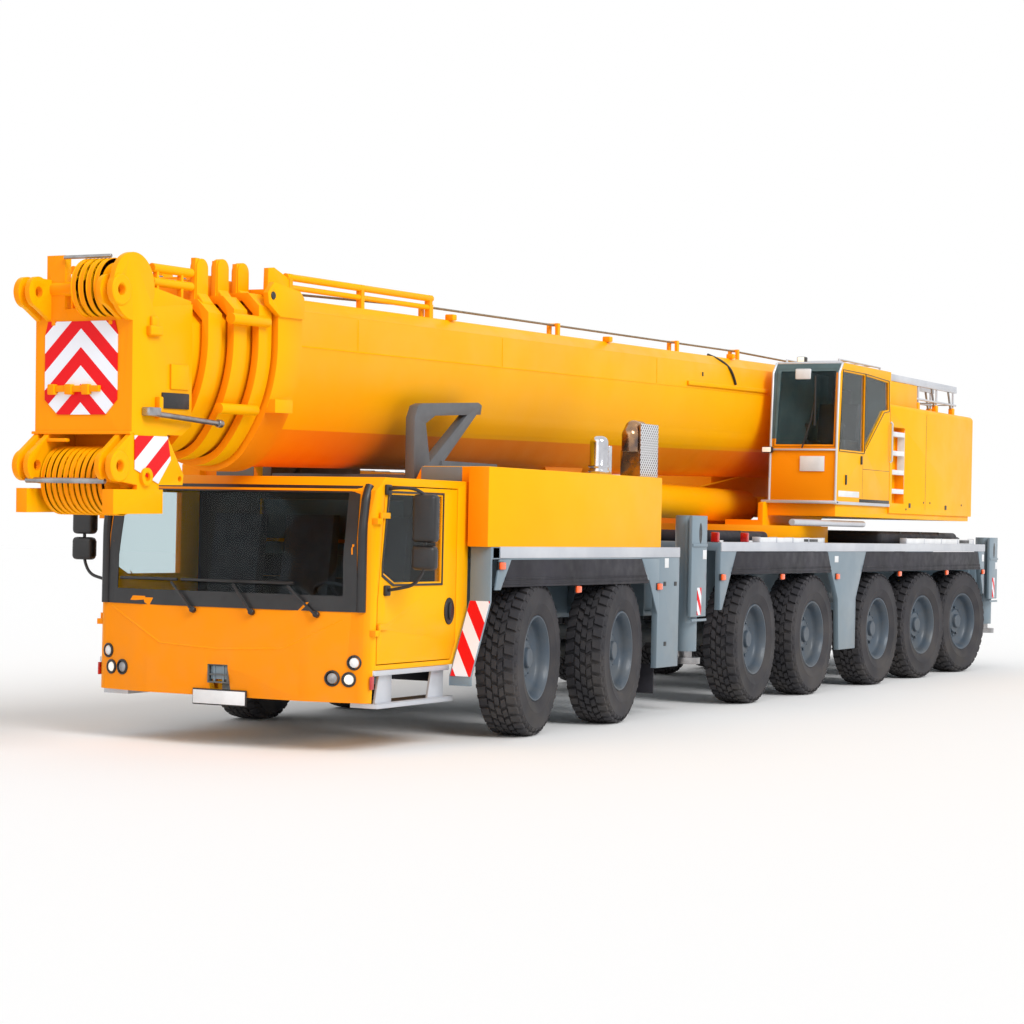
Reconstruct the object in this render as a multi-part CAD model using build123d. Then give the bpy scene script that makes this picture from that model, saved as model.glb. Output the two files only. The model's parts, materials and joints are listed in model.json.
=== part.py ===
from build123d import *
import math
import os

# A seven-axle mobile crane with a five-section telescopic boom, in its road stance.
# Millimetres and degrees. X points forward, Y to the left, Z up. Z = 0 is the ground and
# X = 0 is the middle of the machine's length.

# ---------------------------------------------------------------- driving sizes
HALF_WIDTH = 1500            # deck and superstructure, side to centre
PLATE = 14                   # thin pressed panels
RUNNING_GAP = 8              # between pieces that move past each other
PIN_GAP = 0.3                # round a pin, rod or shaft, on the radius
SEAT = 0.3                   # under a piece that slides or turns on a face

# axles: where each stands, how far its wheels are turned at rest, and whether it steers
FIRST_AXLE_X = 4900
AXLE_STEPS = [0, 1700, 3280, 1700, 2215, 1700, 1700]
AXLE_X = [FIRST_AXLE_X - sum(AXLE_STEPS[:i + 1]) for i in range(len(AXLE_STEPS))]
REST_STEER = [8.9, 8.0, 2.4, 0.0, -2.3, -6.0, -9.0]
FIXED_AXLE = 3               # index of the axle that does not steer
SIDES = {"left": 1, "right": -1}

# wheels
TYRE_RADIUS = 655
SHOULDER_RADIUS = 630
TYRE_HALF_WIDTH = 187
TREAD_HALF_WIDTH = 160
RIM_RADIUS = 345
RIM_HALF_WIDTH = 140
HUB_Z = TYRE_RADIUS
WHEEL_OFFSET = 115           # tyre centre outboard of the kingpin
KINGPIN_Y = HALF_WIDTH - WHEEL_OFFSET - TYRE_HALF_WIDTH - RUNNING_GAP
SPINDLE_RADIUS = 70
KINGPIN_RADIUS = 38

# chassis heights
FRAME_BOTTOM = 900
FRAME_HALF_WIDTH = 430
FRONT_DECK = (1490, 1590)    # underside and top
REAR_DECK = (1560, 1645)
FRONT_DECK_X = (2150, 5636)      # on the left it runs back to the front outrigger's end plate
FRONT_DECK_LEFT_X = 1958
REAR_DECK_X = (-8170, 940)
FRAME_REAR_X = -9350
FRAME_JOINTS_X = (-8250, 1180)   # the girder's lengths meet behind and ahead of the beam boxes
TAIL_HALF_WIDTH = HALF_WIDTH - 300
FRAME_FRONT_X = 5560
NECK_REAR_X = 5360
NECK_FRONT_X = 7150
NECK_Z = 430
NECK_BEND_X = 5740           # where the neck turns down behind the cab's floor

# driver's cab
CAB_HALF_WIDTH = HALF_WIDTH - 220
CAB_REAR_X = 5780
CAB_NOSE_X = 7455
CAB_WALL = 55
CAB_FLOOR_Z = 645
CAB_SKIRT_Z = 395
CAB_ROOF_Z = 2115
CAB_CORNER = 130
DOOR_FRONT_X = 7200
DOOR_REAR_X = 5975
DOOR_BOTTOM_Z = 690
DOOR_TOP_Z = 2045
HINGE_X = DOOR_FRONT_X + RUNNING_GAP / 2
HINGE_Y = CAB_HALF_WIDTH + 15
HINGE_Z = (950, 1800)
HINGE_RADIUS = 13
GLASS = 8
GLASS_GAP = 0.4              # round a pane in its opening
BACK_WINDOW_Y = 700
BACK_WINDOW_Z = (1300, 1950)
FENDER_Y = CAB_HALF_WIDTH + 30   # inner face of the plates behind the cab
STEP_Z = (350, 385)
STEP_X = (5990, 7180)

# engine cover
COVER_REAR_X = 2400
COVER_TOP_Z = 2240
COVER_TROUGH_Z = 2120
COVER_TROUGH_HALF = 760
ENGINE_X = (3750, 5350)
ENGINE_HALF_WIDTH = 360
ENGINE_Z = (965, 2060)
CAN_X = 3480                 # filter can on the cover
SHIELD_X = (2405, 2800)      # tail pipe's heat shield
REST_Y = (655, 740)          # boom rest's side plates

# superstructure
SLEW_X = -2890
RING_RADIUS = 1150
PLATFORM_Z = 1830            # underside of the platform on the slew ring
TAIL_Z = 1945                # underside of the tail, clear of the outriggers it passes over
BOOM_PIVOT_X = -5900
BOOM_PIVOT_Z = 2850
BOOM_PIN_RADIUS = 90
PLATFORM_X = (-7450, -2250)  # tail and front of the platform
BRACKET_Y = (622, 682)       # boom foot brackets, inner and outer face
HOUSING_X = (-7520, -4200)
HOUSING_Z = (2005, 3295)
HOUSING_INNER_Y = 760
HOUSING_BOX = (-5700, 980, 1330, 3590)   # on the left housing: rear, inner side, outer side, top
LADDER_X = (-4740, -4290)
WINCH_X = -7130
WINCH_Z = 2640
WINCH_RADIUS = 270

# crane cab
CRANE_CAB_X = (-4185, -2360)
CRANE_CAB_Y = (HALF_WIDTH - 800, HALF_WIDTH)
CRANE_CAB_Z = (2105, 3660)
CRANE_CAB_WALL = 45

# boom: sections in the boom's own frame, whose origin is the foot pin
BOOM_TILT = 1.1              # nose down at rest
BOOM_AXIS_RISE = 237         # section centre above the foot pin
BASE_HALF_WIDTH = 580
BASE_TOP = 650
BASE_BOTTOM = -650
SECTION_STEP = 42            # each section is this much smaller all round
SECTION_WALL = 15
SHOULDER_DROP = 100
SHOULDER_INSET = 100
CREASE_RISE = 280
BOTTOM_RADIUS = 380
TELESCOPE_STROKE = 11100
# name, tail, collar start, collar end, measured forward from the foot pin
SECTIONS = [
    ("boom_base", -350, 13210, 13545),
    ("telescope_1", 750, 13570, 13745),
    ("telescope_2", 850, 13840, 14015),
    ("telescope_3", 950, 14110, 14285),
]
COLLAR_RISE = 42             # how far a collar stands out from its section
FIN_TOP = 870                # the collars' top fins, above the section's centre
# the collar's side bars: above the section's centre, out from it
COLLAR_BARS = [(430, BASE_HALF_WIDTH + 20), (-230, BASE_HALF_WIDTH - 80)]
HEAD_TAIL = 1050
HEAD_BOX = (14385, 15110)    # rear and front face of the head box
HEAD_HALF_WIDTH = 425
JIB_PIN_RADIUS = 40
PIN_BOSS_RADIUS = 110
HEAD_TOP = (517, 445)        # above the section's centre, at the rear and at the front
HEAD_BOTTOM = -440
CHEEKS = ((385, 425), (290, 330))    # side faces of each outer and inner pin plate
UPPER_PIN = (15250, 560)     # forward of the foot pin, above the section's centre
LOWER_PIN = (15250, -670)
# rope sheaves: how many, first side position, pitch, thickness, radius, axle place
SHEAVES_LOWER = (11, -275, 50, 34, 240, (14990, -775))
SHEAVES_UPPER = (4, 20, 66, 42, 205, (15085, 590))
GUIDES_X = (3750, 5450, 8300, 10780)     # rope guides along the top, from the foot pin
STRUT_X = (10900, 13200)                 # the tubes of the strut on top of the base section
STRUT_Y = 460

# luffing cylinder
CYLINDER_FOOT = (-3500, 2045)
CYLINDER_EYE = (1900, 2100)
BARREL_RADIUS = 185
ROD_RADIUS = 130
BARREL_LENGTH = 4550

# outriggers: name, side, beam centre in X, height of the jack's top
OUTRIGGERS = [
    ("front_left", 1, 1480, 1900),
    ("front_right", -1, 1940, 1900),
    ("rear_left", 1, -8600, 1740),
    ("rear_right", -1, -9060, 1740),
]
BEAM_HALF = 185
BOX_WALL = 45                # round the beams where they run through the frame
BEAM_Z = (985, 1355)
JACK_Y = HALF_WIDTH - 135
BOX_HALF_LENGTH = JACK_Y - 135
JACK_RADIUS = 112
JACK_BOTTOM = 590
JACK_ROD_RADIUS = 70
PAD_RADIUS = 150
PAD_Z = (470, 530)
REAR_END_X = -9472.5
COUPLING_X = (CAB_NOSE_X - 90, REAR_END_X + 35)   # tow pins at the nose and the tail
COUPLING_Z = (530, 630)
COUPLING_RADIUS = 25


# ---------------------------------------------------------------- helpers
def block(x0, x1, y0, y1, z0, z1):
    """A box given by its low and high faces."""
    size = Box(abs(x1 - x0), abs(y1 - y0), abs(z1 - z0))
    return Pos((x0 + x1) / 2, (y0 + y1) / 2, (z0 + z1) / 2) * size


def side_plate(points, y0, y1):
    """A profile of (x, z) points, extruded from y0 to y1."""
    face = make_face(Polyline(*[(x, y0, z) for x, z in points], close=True))
    return extrude(face, amount=y1 - y0, dir=(0, 1, 0))


def cross_plate(points, x0, x1):
    """A profile of (y, z) points, extruded from x0 to x1."""
    face = make_face(Polyline(*[(x0, y, z) for y, z in points], close=True))
    return extrude(face, amount=x1 - x0, dir=(1, 0, 0))


def flat_plate(points, z0, z1):
    """A profile of (x, y) points, extruded from z0 to z1."""
    face = make_face(Polyline(*[(x, y, z0) for x, y in points], close=True))
    return extrude(face, amount=z1 - z0, dir=(0, 0, 1))


def rod_x(x0, x1, y, z, radius):
    """A round bar along X."""
    return Pos((x0 + x1) / 2, y, z) * Rot(0, 90, 0) * Cylinder(radius, x1 - x0)


def rod_y(y0, y1, x, z, radius):
    """A round bar along Y."""
    return Pos(x, (y0 + y1) / 2, z) * Rot(90, 0, 0) * Cylinder(radius, y1 - y0)


def rod_z(z0, z1, x, y, radius):
    """A round bar along Z."""
    return Pos(x, y, (z0 + z1) / 2) * Cylinder(radius, z1 - z0)


def other_side(shape):
    """The same shape on the other side of the machine."""
    return mirror(shape, about=Plane.XZ)


def both_sides(shape):
    """The shape and its mirror image."""
    return shape + other_side(shape)


def separate(*shapes):
    """Solids kept apart in one node."""
    solids = []
    for shape in shapes:
        solids.extend(shape.solids())
    return Compound(children=solids)


# ---------------------------------------------------------------- wheels and axles
def wheel_place(axle, side, steered=True):
    """Where a wheel's kingpin stands, turned to its resting lock."""
    lock = REST_STEER[axle] if steered else 0
    return Pos(AXLE_X[axle], side * KINGPIN_Y, HUB_Z) * Rot(0, 0, lock)


def turned(profile):
    """A ring turned round the Y axis from its (radius, y) outline."""
    face = make_face(Polyline(*[(r, y, 0) for r, y in profile], close=True))
    return revolve(face, axis=Axis.Y)


def wheel(side):
    """A tyre seated on its rim, with the kingpin at the origin."""
    bore = SPINDLE_RADIUS + PIN_GAP
    tyre = turned([
        (RIM_RADIUS, -RIM_HALF_WIDTH), (500, -TYRE_HALF_WIDTH),
        (SHOULDER_RADIUS - 45, -TYRE_HALF_WIDTH + 8), (SHOULDER_RADIUS, -TREAD_HALF_WIDTH),
        (TYRE_RADIUS, -80), (TYRE_RADIUS, 80), (SHOULDER_RADIUS, TREAD_HALF_WIDTH),
        (SHOULDER_RADIUS - 45, TYRE_HALF_WIDTH - 8), (500, TYRE_HALF_WIDTH),
        (RIM_RADIUS, RIM_HALF_WIDTH)])
    rim = turned([
        (RIM_RADIUS, -RIM_HALF_WIDTH), (RIM_RADIUS, RIM_HALF_WIDTH), (RIM_RADIUS - 25, RIM_HALF_WIDTH),
        (300, 60), (190, 25), (120, 60), (bore, 60), (bore, -5), (190, -8), (300, 5),
        (312, -RIM_HALF_WIDTH)])
    placed = Pos(0, side * WHEEL_OFFSET, 0) * (Rot(0, 0, 0) if side > 0 else Rot(0, 0, 180))
    return placed * (tyre + rim)


def knuckle(side):
    """Kingpin, steering arm and hub that carry one wheel."""
    pin = rod_z(-260, 260, 0, 0, KINGPIN_RADIUS)
    body = rod_z(-180, 180, 0, 0, 80)
    hub = rod_y(side * 40, side * (WHEEL_OFFSET - 10), 0, 0, 170) if side > 0 else \
        rod_y(side * (WHEEL_OFFSET - 10), side * 40, 0, 0, 170)
    spindle_end = side * (WHEEL_OFFSET + 80)
    spindle = rod_y(min(0, spindle_end), max(0, spindle_end), 0, 0, SPINDLE_RADIUS)
    arm = block(-260, -60, side * -25, side * 25, -95, -45)
    return pin + body + hub + spindle + arm


def axle_beam(x, steered):
    """A driven axle: drive housing, tubes, yokes or end flanges, and suspension struts."""
    housing = rod_x(x - 160, x + 160, 0, HUB_Z, 205) + rod_x(x - 230, x + 230, 0, HUB_Z, 120)
    tube = rod_y(-KINGPIN_Y + 170, KINGPIN_Y - 170, x, HUB_Z, 80)
    beam = housing + tube
    root_y = KINGPIN_Y - 200
    for side in (1, -1):
        if steered:
            for low, high in ((-255, -185), (185, 255)):
                ear = rod_z(HUB_Z + low, HUB_Z + high, x, side * KINGPIN_Y, 85)
                strap = block(x - 75, x + 75, side * root_y, side * KINGPIN_Y, HUB_Z + low, HUB_Z + high)
                beam += ear + strap
            web = block(x - 95, x + 95, side * root_y, side * (root_y + 70), HUB_Z - 255, HUB_Z + 255)
            bore = rod_z(HUB_Z - 300, HUB_Z + 300, x, side * KINGPIN_Y, KINGPIN_RADIUS + PIN_GAP)
            beam = beam + web - bore
        else:
            start = side * root_y
            end = side * (KINGPIN_Y + WHEEL_OFFSET + 80)
            beam += rod_y(min(start, end), max(start, end), x, HUB_Z, SPINDLE_RADIUS)
            flange = side * (KINGPIN_Y + WHEEL_OFFSET - 10)
            beam += rod_y(min(start, flange), max(start, flange), x, HUB_Z, 170)
    deck = REAR_DECK[0] if x < FRONT_DECK_X[0] else FRONT_DECK[0]
    for side in (1, -1):
        beam += rod_z(HUB_Z, deck, x, side * 590, 50) + rod_z(HUB_Z + 330, deck, x, side * 590, 72)
    return beam


# ---------------------------------------------------------------- chassis
def engine_bay(z0, z1):
    """The room left round the engine in the frame and the deck."""
    half = ENGINE_HALF_WIDTH + 15
    return block(ENGINE_X[0] - 40, ENGINE_X[1] + 40, -half, half, z0, z1)


def beam_box(x_front, x_rear):
    """The room for one pair of outrigger beams, and the boxes round it at the girder's sides."""
    low, high = min(x_front, x_rear) - BEAM_HALF - BOX_WALL, max(x_front, x_rear) + BEAM_HALF + BOX_WALL
    room = Part()
    for x in (x_front, x_rear):
        room += block(x - BEAM_HALF - RUNNING_GAP, x + BEAM_HALF + RUNNING_GAP, -HALF_WIDTH, HALF_WIDTH,
                      BEAM_Z[0] - SEAT, BEAM_Z[1] + RUNNING_GAP)
    boxes = []
    for side in (1, -1):
        boxes.append(block(low, high, side * (FRAME_HALF_WIDTH + SEAT), side * BOX_HALF_LENGTH,
                           BEAM_Z[0] - BOX_WALL, BEAM_Z[1] + BOX_WALL) - room)
    return room, boxes


def chassis_frame():
    """The box girder in three lengths, its outrigger boxes, the tail plate and the drop neck."""
    girder = side_plate([
        (FRAME_REAR_X, FRAME_BOTTOM), (NECK_REAR_X - SEAT, FRAME_BOTTOM),
        (NECK_REAR_X - SEAT, FRONT_DECK[0]), (FRONT_DECK_LEFT_X, FRONT_DECK[0]),
        (FRONT_DECK_LEFT_X, REAR_DECK[0]), (FRAME_REAR_X, REAR_DECK[0])],
        -FRAME_HALF_WIDTH, FRAME_HALF_WIDTH)
    girder -= engine_bay(ENGINE_Z[0], REAR_DECK[1])
    boxes = []
    for front, rear in (OUTRIGGERS[:2], OUTRIGGERS[2:]):
        room, pair = beam_box(front[2], rear[2])
        girder -= room
        boxes.extend(pair)
    for x in FRAME_JOINTS_X:
        girder -= block(x, x + SEAT, -HALF_WIDTH, HALF_WIDTH, FRAME_BOTTOM - 10, REAR_DECK[1])

    neck = side_plate([
        (NECK_REAR_X, FRAME_BOTTOM), (NECK_BEND_X - 40, NECK_Z), (NECK_FRONT_X, NECK_Z),
        (NECK_FRONT_X, CAB_FLOOR_Z), (NECK_BEND_X, CAB_FLOOR_Z), (NECK_BEND_X, FRONT_DECK[0] - 10),
        (FRAME_FRONT_X, FRONT_DECK[0]), (NECK_REAR_X, FRONT_DECK[0])],
        -FRAME_HALF_WIDTH, FRAME_HALF_WIDTH)
    neck += block(NECK_FRONT_X, CAB_NOSE_X - 30, -75, 75, *COUPLING_Z)
    neck -= rod_z(400, 700, COUPLING_X[0], 0, COUPLING_RADIUS)

    tail = block(REAR_END_X + 110, FRAME_REAR_X - SEAT, -TAIL_HALF_WIDTH, TAIL_HALF_WIDTH, 620, 1300)
    tail += block(REAR_END_X, REAR_END_X + 120, -90, 90, *COUPLING_Z)
    tail += block(REAR_END_X + 60, FRAME_REAR_X - SEAT, -90, 90, 500, 700)
    tail -= rod_z(400, 660, COUPLING_X[1], 0, COUPLING_RADIUS)
    return separate(girder, *boxes, neck, tail)


def deck_and_skirts():
    """Walk-on deck, its edge rails, wheel aprons, side panels, steps and rear lamp boxes."""
    front = block(*FRONT_DECK_X, -HALF_WIDTH, HALF_WIDTH, *FRONT_DECK)
    front += block(FRONT_DECK_LEFT_X, FRONT_DECK_X[0], 0, HALF_WIDTH, *FRONT_DECK)
    front -= engine_bay(1400, 1700)
    rear = block(*REAR_DECK_X, -HALF_WIDTH, HALF_WIDTH, *REAR_DECK)
    for side in (1, -1):
        outer = side * HALF_WIDTH
        inner = side * (HALF_WIDTH - PLATE)
        low, high = min(outer, inner), max(outer, inner)
        front += side_plate([(5432, 1490), (5603, 1285), (2625, 1285), (2843, 1490)], low, high)
        rear_x = FRONT_DECK_LEFT_X if side > 0 else FRONT_DECK_X[0]
        front += block(rear_x, 2455, side * (HALF_WIDTH - 60), outer, 470, FRONT_DECK[0])
        front += side_plate([(5636, 1490), (5766, 1490), (5766, 1145), (6071, 555), (6071, 480),
                             (6095, 480), (6095, 560), (5790, 1150), (5790, 1590), (5636, 1590)],
                            side * FENDER_Y, outer)
        low, high = min(outer, side * (HALF_WIDTH - 60)), max(outer, side * (HALF_WIDTH - 60))
        rear += side_plate([(940, 1560), (940, 977), (882, 977), (520, 1560)], low, high)
        rear += side_plate([(-2108, 1560), (-2495, 1027), (-2548, 460),
                            (-3088, 460), (-3090, 1027), (-3428, 1560)], low, high)
        rear += side_plate([(-7892, 1560), (-8135, 1000), (-8170, 1000), (-8170, 1560)], low, high)
    return separate(front, rear)


# ---------------------------------------------------------------- driver's cab
def cab_block(inset):
    """The cab's outer form, drawn in by an inset all round."""
    half = CAB_HALF_WIDTH - inset
    nose = CAB_NOSE_X - inset
    side_x = nose - 150
    corner = CAB_CORNER
    plan_edge = [
        Line((CAB_REAR_X + inset, -half, 0), (side_x - corner, -half, 0)),
        ThreePointArc((side_x - corner, -half, 0), (side_x - corner * 0.3, -half + corner * 0.28, 0),
                      (side_x, -half + corner, 0)),
        ThreePointArc((side_x, -half + corner, 0), (nose, 0, 0), (side_x, half - corner, 0)),
        ThreePointArc((side_x, half - corner, 0), (side_x - corner * 0.3, half - corner * 0.28, 0),
                      (side_x - corner, half, 0)),
        Line((side_x - corner, half, 0), (CAB_REAR_X + inset, half, 0)),
        Line((CAB_REAR_X + inset, half, 0), (CAB_REAR_X + inset, -half, 0)),
    ]
    plan = extrude(make_face(plan_edge), amount=3000, dir=(0, 0, 1))
    profile = side_plate([
        (CAB_REAR_X + inset, CAB_FLOOR_Z + inset), (DOOR_FRONT_X + 30 + inset, CAB_FLOOR_Z + inset),
        (DOOR_FRONT_X + 40 + inset, CAB_SKIRT_Z + inset), (nose - 60, CAB_SKIRT_Z + inset),
        (nose, 620), (nose, 760), (nose - 60, 1110), (nose - 215, 2010),
        (nose - 330, CAB_ROOF_Z - inset), (CAB_REAR_X + inset, CAB_ROOF_Z - inset)], -half, half)
    return plan & profile


def door_outline(grow):
    """The door's outline in (x, z), grown by a gap."""
    return [
        (DOOR_REAR_X - grow, DOOR_BOTTOM_Z + 140 - grow), (DOOR_REAR_X + 72 - grow, DOOR_BOTTOM_Z - grow),
        (DOOR_FRONT_X + grow, DOOR_BOTTOM_Z - grow),
        (DOOR_FRONT_X + grow, 1160), (DOOR_FRONT_X - 85 + grow, DOOR_TOP_Z + grow),
        (DOOR_REAR_X - grow, DOOR_TOP_Z + grow)]


def door_window(grow):
    """The door window's outline in (x, z), grown by a gap."""
    return [
        (6230 - grow, 1310 - grow), (6960, 1310 - grow), (7130 + grow, 1385), (7130 + grow, 1480),
        (7050 + grow, 1985 + grow), (6230 - grow, 1985 + grow)]


def door_hinge(side, on_door):
    """The half of each hinge that is on the door, or the half on the pillar below it."""
    surface = side * CAB_HALF_WIDTH
    proud = side * (CAB_HALF_WIDTH + 2)
    face = side * (HINGE_Y + 6)
    hinge = Part()
    for z in HINGE_Z:
        low, high = (z + SEAT, z + 45) if on_door else (z - 45, z)
        foot, tip, depth = (-130, -80, 4) if on_door else (10, 60, 30)
        leaf = block(HINGE_X + min(foot, 0), HINGE_X + max(tip, 0), proud, face, low, high)
        root = block(HINGE_X + foot, HINGE_X + tip, surface - side * depth, face, low, high)
        hinge += rod_z(low, high, HINGE_X, side * HINGE_Y, HINGE_RADIUS) + leaf + root
    return hinge


WINDSCREEN = [(-1120, 1150), (1120, 1150), (1085, 2000), (-1085, 2000)]


def windscreen_outline(grow):
    """The windscreen's outline in (y, z), grown by a gap."""
    middle = (WINDSCREEN[0][1] + WINDSCREEN[2][1]) / 2
    grown = []
    for y, z in WINDSCREEN:
        out, up = math.copysign(1, y), math.copysign(1, z - middle)
        grown.append((y + out * grow, z + up * grow))
    return grown


def cab_shell():
    """Cab body: roof, back wall, nose and pillars, with door and window openings."""
    shell = cab_block(0) - cab_block(CAB_WALL)
    for side in (1, -1):
        sill_edge = side * (CAB_HALF_WIDTH - CAB_WALL - RUNNING_GAP)
        shell -= side_plate(door_outline(RUNNING_GAP), sill_edge, side * (CAB_HALF_WIDTH + 50))
    shell -= cross_plate(windscreen_outline(0), 7000, 7600)
    shell -= block(DOOR_FRONT_X, CAB_NOSE_X + 10, -95, 95, CAB_SKIRT_Z - 10, CAB_FLOOR_Z)
    shell -= block(CAB_REAR_X - 10, CAB_REAR_X + CAB_WALL + 10, -BACK_WINDOW_Y, BACK_WINDOW_Y,
                   *BACK_WINDOW_Z)
    top = CAB_FLOOR_Z + 10
    for side in (1, -1):
        shell += door_hinge(side, False)
        shell += block(*STEP_X, side * (CAB_HALF_WIDTH - 240), side * CAB_HALF_WIDTH, *STEP_Z)
        for x in (6080, 6900):
            shell += side_plate([(x, STEP_Z[1]), (x + 250, STEP_Z[1]), (x + 180, top), (x, top)],
                                side * (CAB_HALF_WIDTH - 60), side * (CAB_HALF_WIDTH - 40))
    return shell


def cab_glass():
    """Windscreen and back window."""
    screen = cab_block(14) - cab_block(14 + GLASS)
    screen &= cross_plate(windscreen_outline(-GLASS_GAP), 7000, 7600)
    half = BACK_WINDOW_Y - GLASS_GAP
    back = block(CAB_REAR_X + 14, CAB_REAR_X + 14 + GLASS, -half, half,
                 BACK_WINDOW_Z[0] + GLASS_GAP, BACK_WINDOW_Z[1] - GLASS_GAP)
    return separate(screen, back)


def cab_door(side):
    """One cab door with its mirror arms and two mirrors."""
    skin = cab_block(0) - cab_block(CAB_WALL)
    inner = side * (CAB_HALF_WIDTH - CAB_WALL)
    door = skin & side_plate(door_outline(0), inner, side * 1400)
    door -= side_plate(door_window(0), side * 1000, side * 1400)
    surface = side * CAB_HALF_WIDTH
    outboard = side * 1600
    for z in (1990, 1240):
        door += block(7080, 7110, surface, outboard, z, z + 25)
    door += rod_z(1240, 2015, 7095, outboard, 14)
    door += block(7040, 7110, side * 1500, side * 1700, 1640, 1990)
    door += block(7040, 7110, side * 1500, side * 1700, 1420, 1590)
    return door + door_hinge(side, True)


def door_glass(side):
    """The pane in a cab door."""
    pane = cab_block(14) - cab_block(14 + GLASS)
    return pane & side_plate(door_window(-GLASS_GAP), side * 1000, side * 1400)


def cab_interior():
    """Dashboard, steering wheel and seats."""
    floor = CAB_FLOOR_Z + CAB_WALL
    dash = side_plate([(6950, floor), (7330, floor), (7330, 1120), (7250, 1140), (6950, 1000)], -1150, 1150)
    dash &= cab_block(CAB_WALL + 5)
    dash += block(6950, 7150, -1100, 1100, floor, floor + 20)
    steering = Torus(190, 16) + Box(380, 30, 14) + Box(30, 380, 14)
    steering += Cylinder(28, 300, align=(Align.CENTER, Align.CENTER, Align.MAX))
    pieces = [dash + Pos(6830, 700, 1180) * Rot(0, -35, 0) * steering]
    for y in (700, 0, -700):
        seat = block(6150, 6600, y - 230, y + 230, floor, 1130)
        back = side_plate([(6130, 1130), (6250, 1130), (6150, 1820), (6050, 1820)], y - 230, y + 230)
        pieces.append(seat + back)
    return separate(*pieces)


# ---------------------------------------------------------------- engine cover and boom rest
def engine_cover():
    """Sheet cover over the engine with a trough that the boom lies in."""
    def outline(inset):
        top, trough = COVER_TOP_Z - inset, COVER_TROUGH_Z - inset
        half, trough_half = HALF_WIDTH - inset, COVER_TROUGH_HALF + inset
        return [
            (-half, FRONT_DECK[1]), (half, FRONT_DECK[1]), (half, top), (trough_half + 60, top),
            (trough_half, trough), (-trough_half, trough), (-trough_half - 60, top), (-half, top)]
    front = CAB_REAR_X - 20
    cover = cross_plate(outline(0), COVER_REAR_X, front)
    cover -= cross_plate(outline(20), COVER_REAR_X + 20, front - 20)
    for side in (1, -1):
        cover += block(front - 20, 5853, side * FENDER_Y, side * HALF_WIDTH, FRONT_DECK[1], COVER_TOP_Z)
    return cover


def mitred_pipe(corners, y, radius):
    """A pipe through corners (x, z) in the plane at y, with a ball at each bend."""
    pipe = Part()
    for (x0, z0), (x1, z1) in zip(corners, corners[1:]):
        run = Plane(origin=(x0, y, z0), z_dir=(x1 - x0, 0, z1 - z0))
        pipe += extrude(run * Circle(radius), amount=math.dist((x0, z0), (x1, z1)))
    for x, z in corners[1:-1]:
        pipe += Pos(x, y, z) * Sphere(radius + 1)
    return pipe


def engine_and_exhaust():
    """Engine block in its bay, filter can with its pipe, and the tail pipe in its heat shield."""
    engine = block(*ENGINE_X, -ENGINE_HALF_WIDTH, ENGINE_HALF_WIDTH, *ENGINE_Z)
    y = HALF_WIDTH - 150
    top = COVER_TOP_Z
    can = rod_z(top, top + 345, CAN_X, y, 83)
    can = fillet(can.edges().group_by(Axis.Z)[-1], 60)
    for z in (top + 20, top + 65):
        can += rod_z(z, z + 18, CAN_X, y, 95)
    can += rod_x(CAN_X - 195, CAN_X, y, top + 230, 32) + rod_z(top, top + 262, CAN_X - 195, y, 34)
    shield = block(*SHIELD_X, y - 100, y + 100, top, top + 490)
    shield -= block(SHIELD_X[1] - 110, SHIELD_X[1] + 10, y - 110, y + 85, top + 240, top + 500)
    front = SHIELD_X[1] + 10
    elbow = mitred_pipe([(front, top + 230), (front, top + 380),
                         (front - 60, top + 440), (front - 200, top + 440)],
                        y, 80)
    elbow -= rod_x(front - 201, front - 160, y, top + 440, 72)
    return separate(engine, can, shield + elbow)


def boom_rest():
    """Forked stand in the cover's trough that the boom lies on."""
    z = COVER_TROUGH_Z
    stand = block(5450, 5735, -REST_Y[1] + 10, REST_Y[1] - 10, z, z + 50)
    for side in (1, -1):
        near, far = side * REST_Y[0], side * REST_Y[1]
        stand += side_plate([(5438, z), (5745, z), (5748, 2640), (5690, 2740), (5600, 2765), (4640, 2822),
                             (4580, 2800), (4600, 2720), (5400, 2672), (5560, 2600)], near, far)
        stand += side_plate([(4640, 2740), (4790, 2740), (5600, 2200), (5560, 2150), (5430, 2150)], near, far)
        stand += block(4300, 5300, side * 640, side * (REST_Y[1] + 15), z, z + 180)
    return stand


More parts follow.
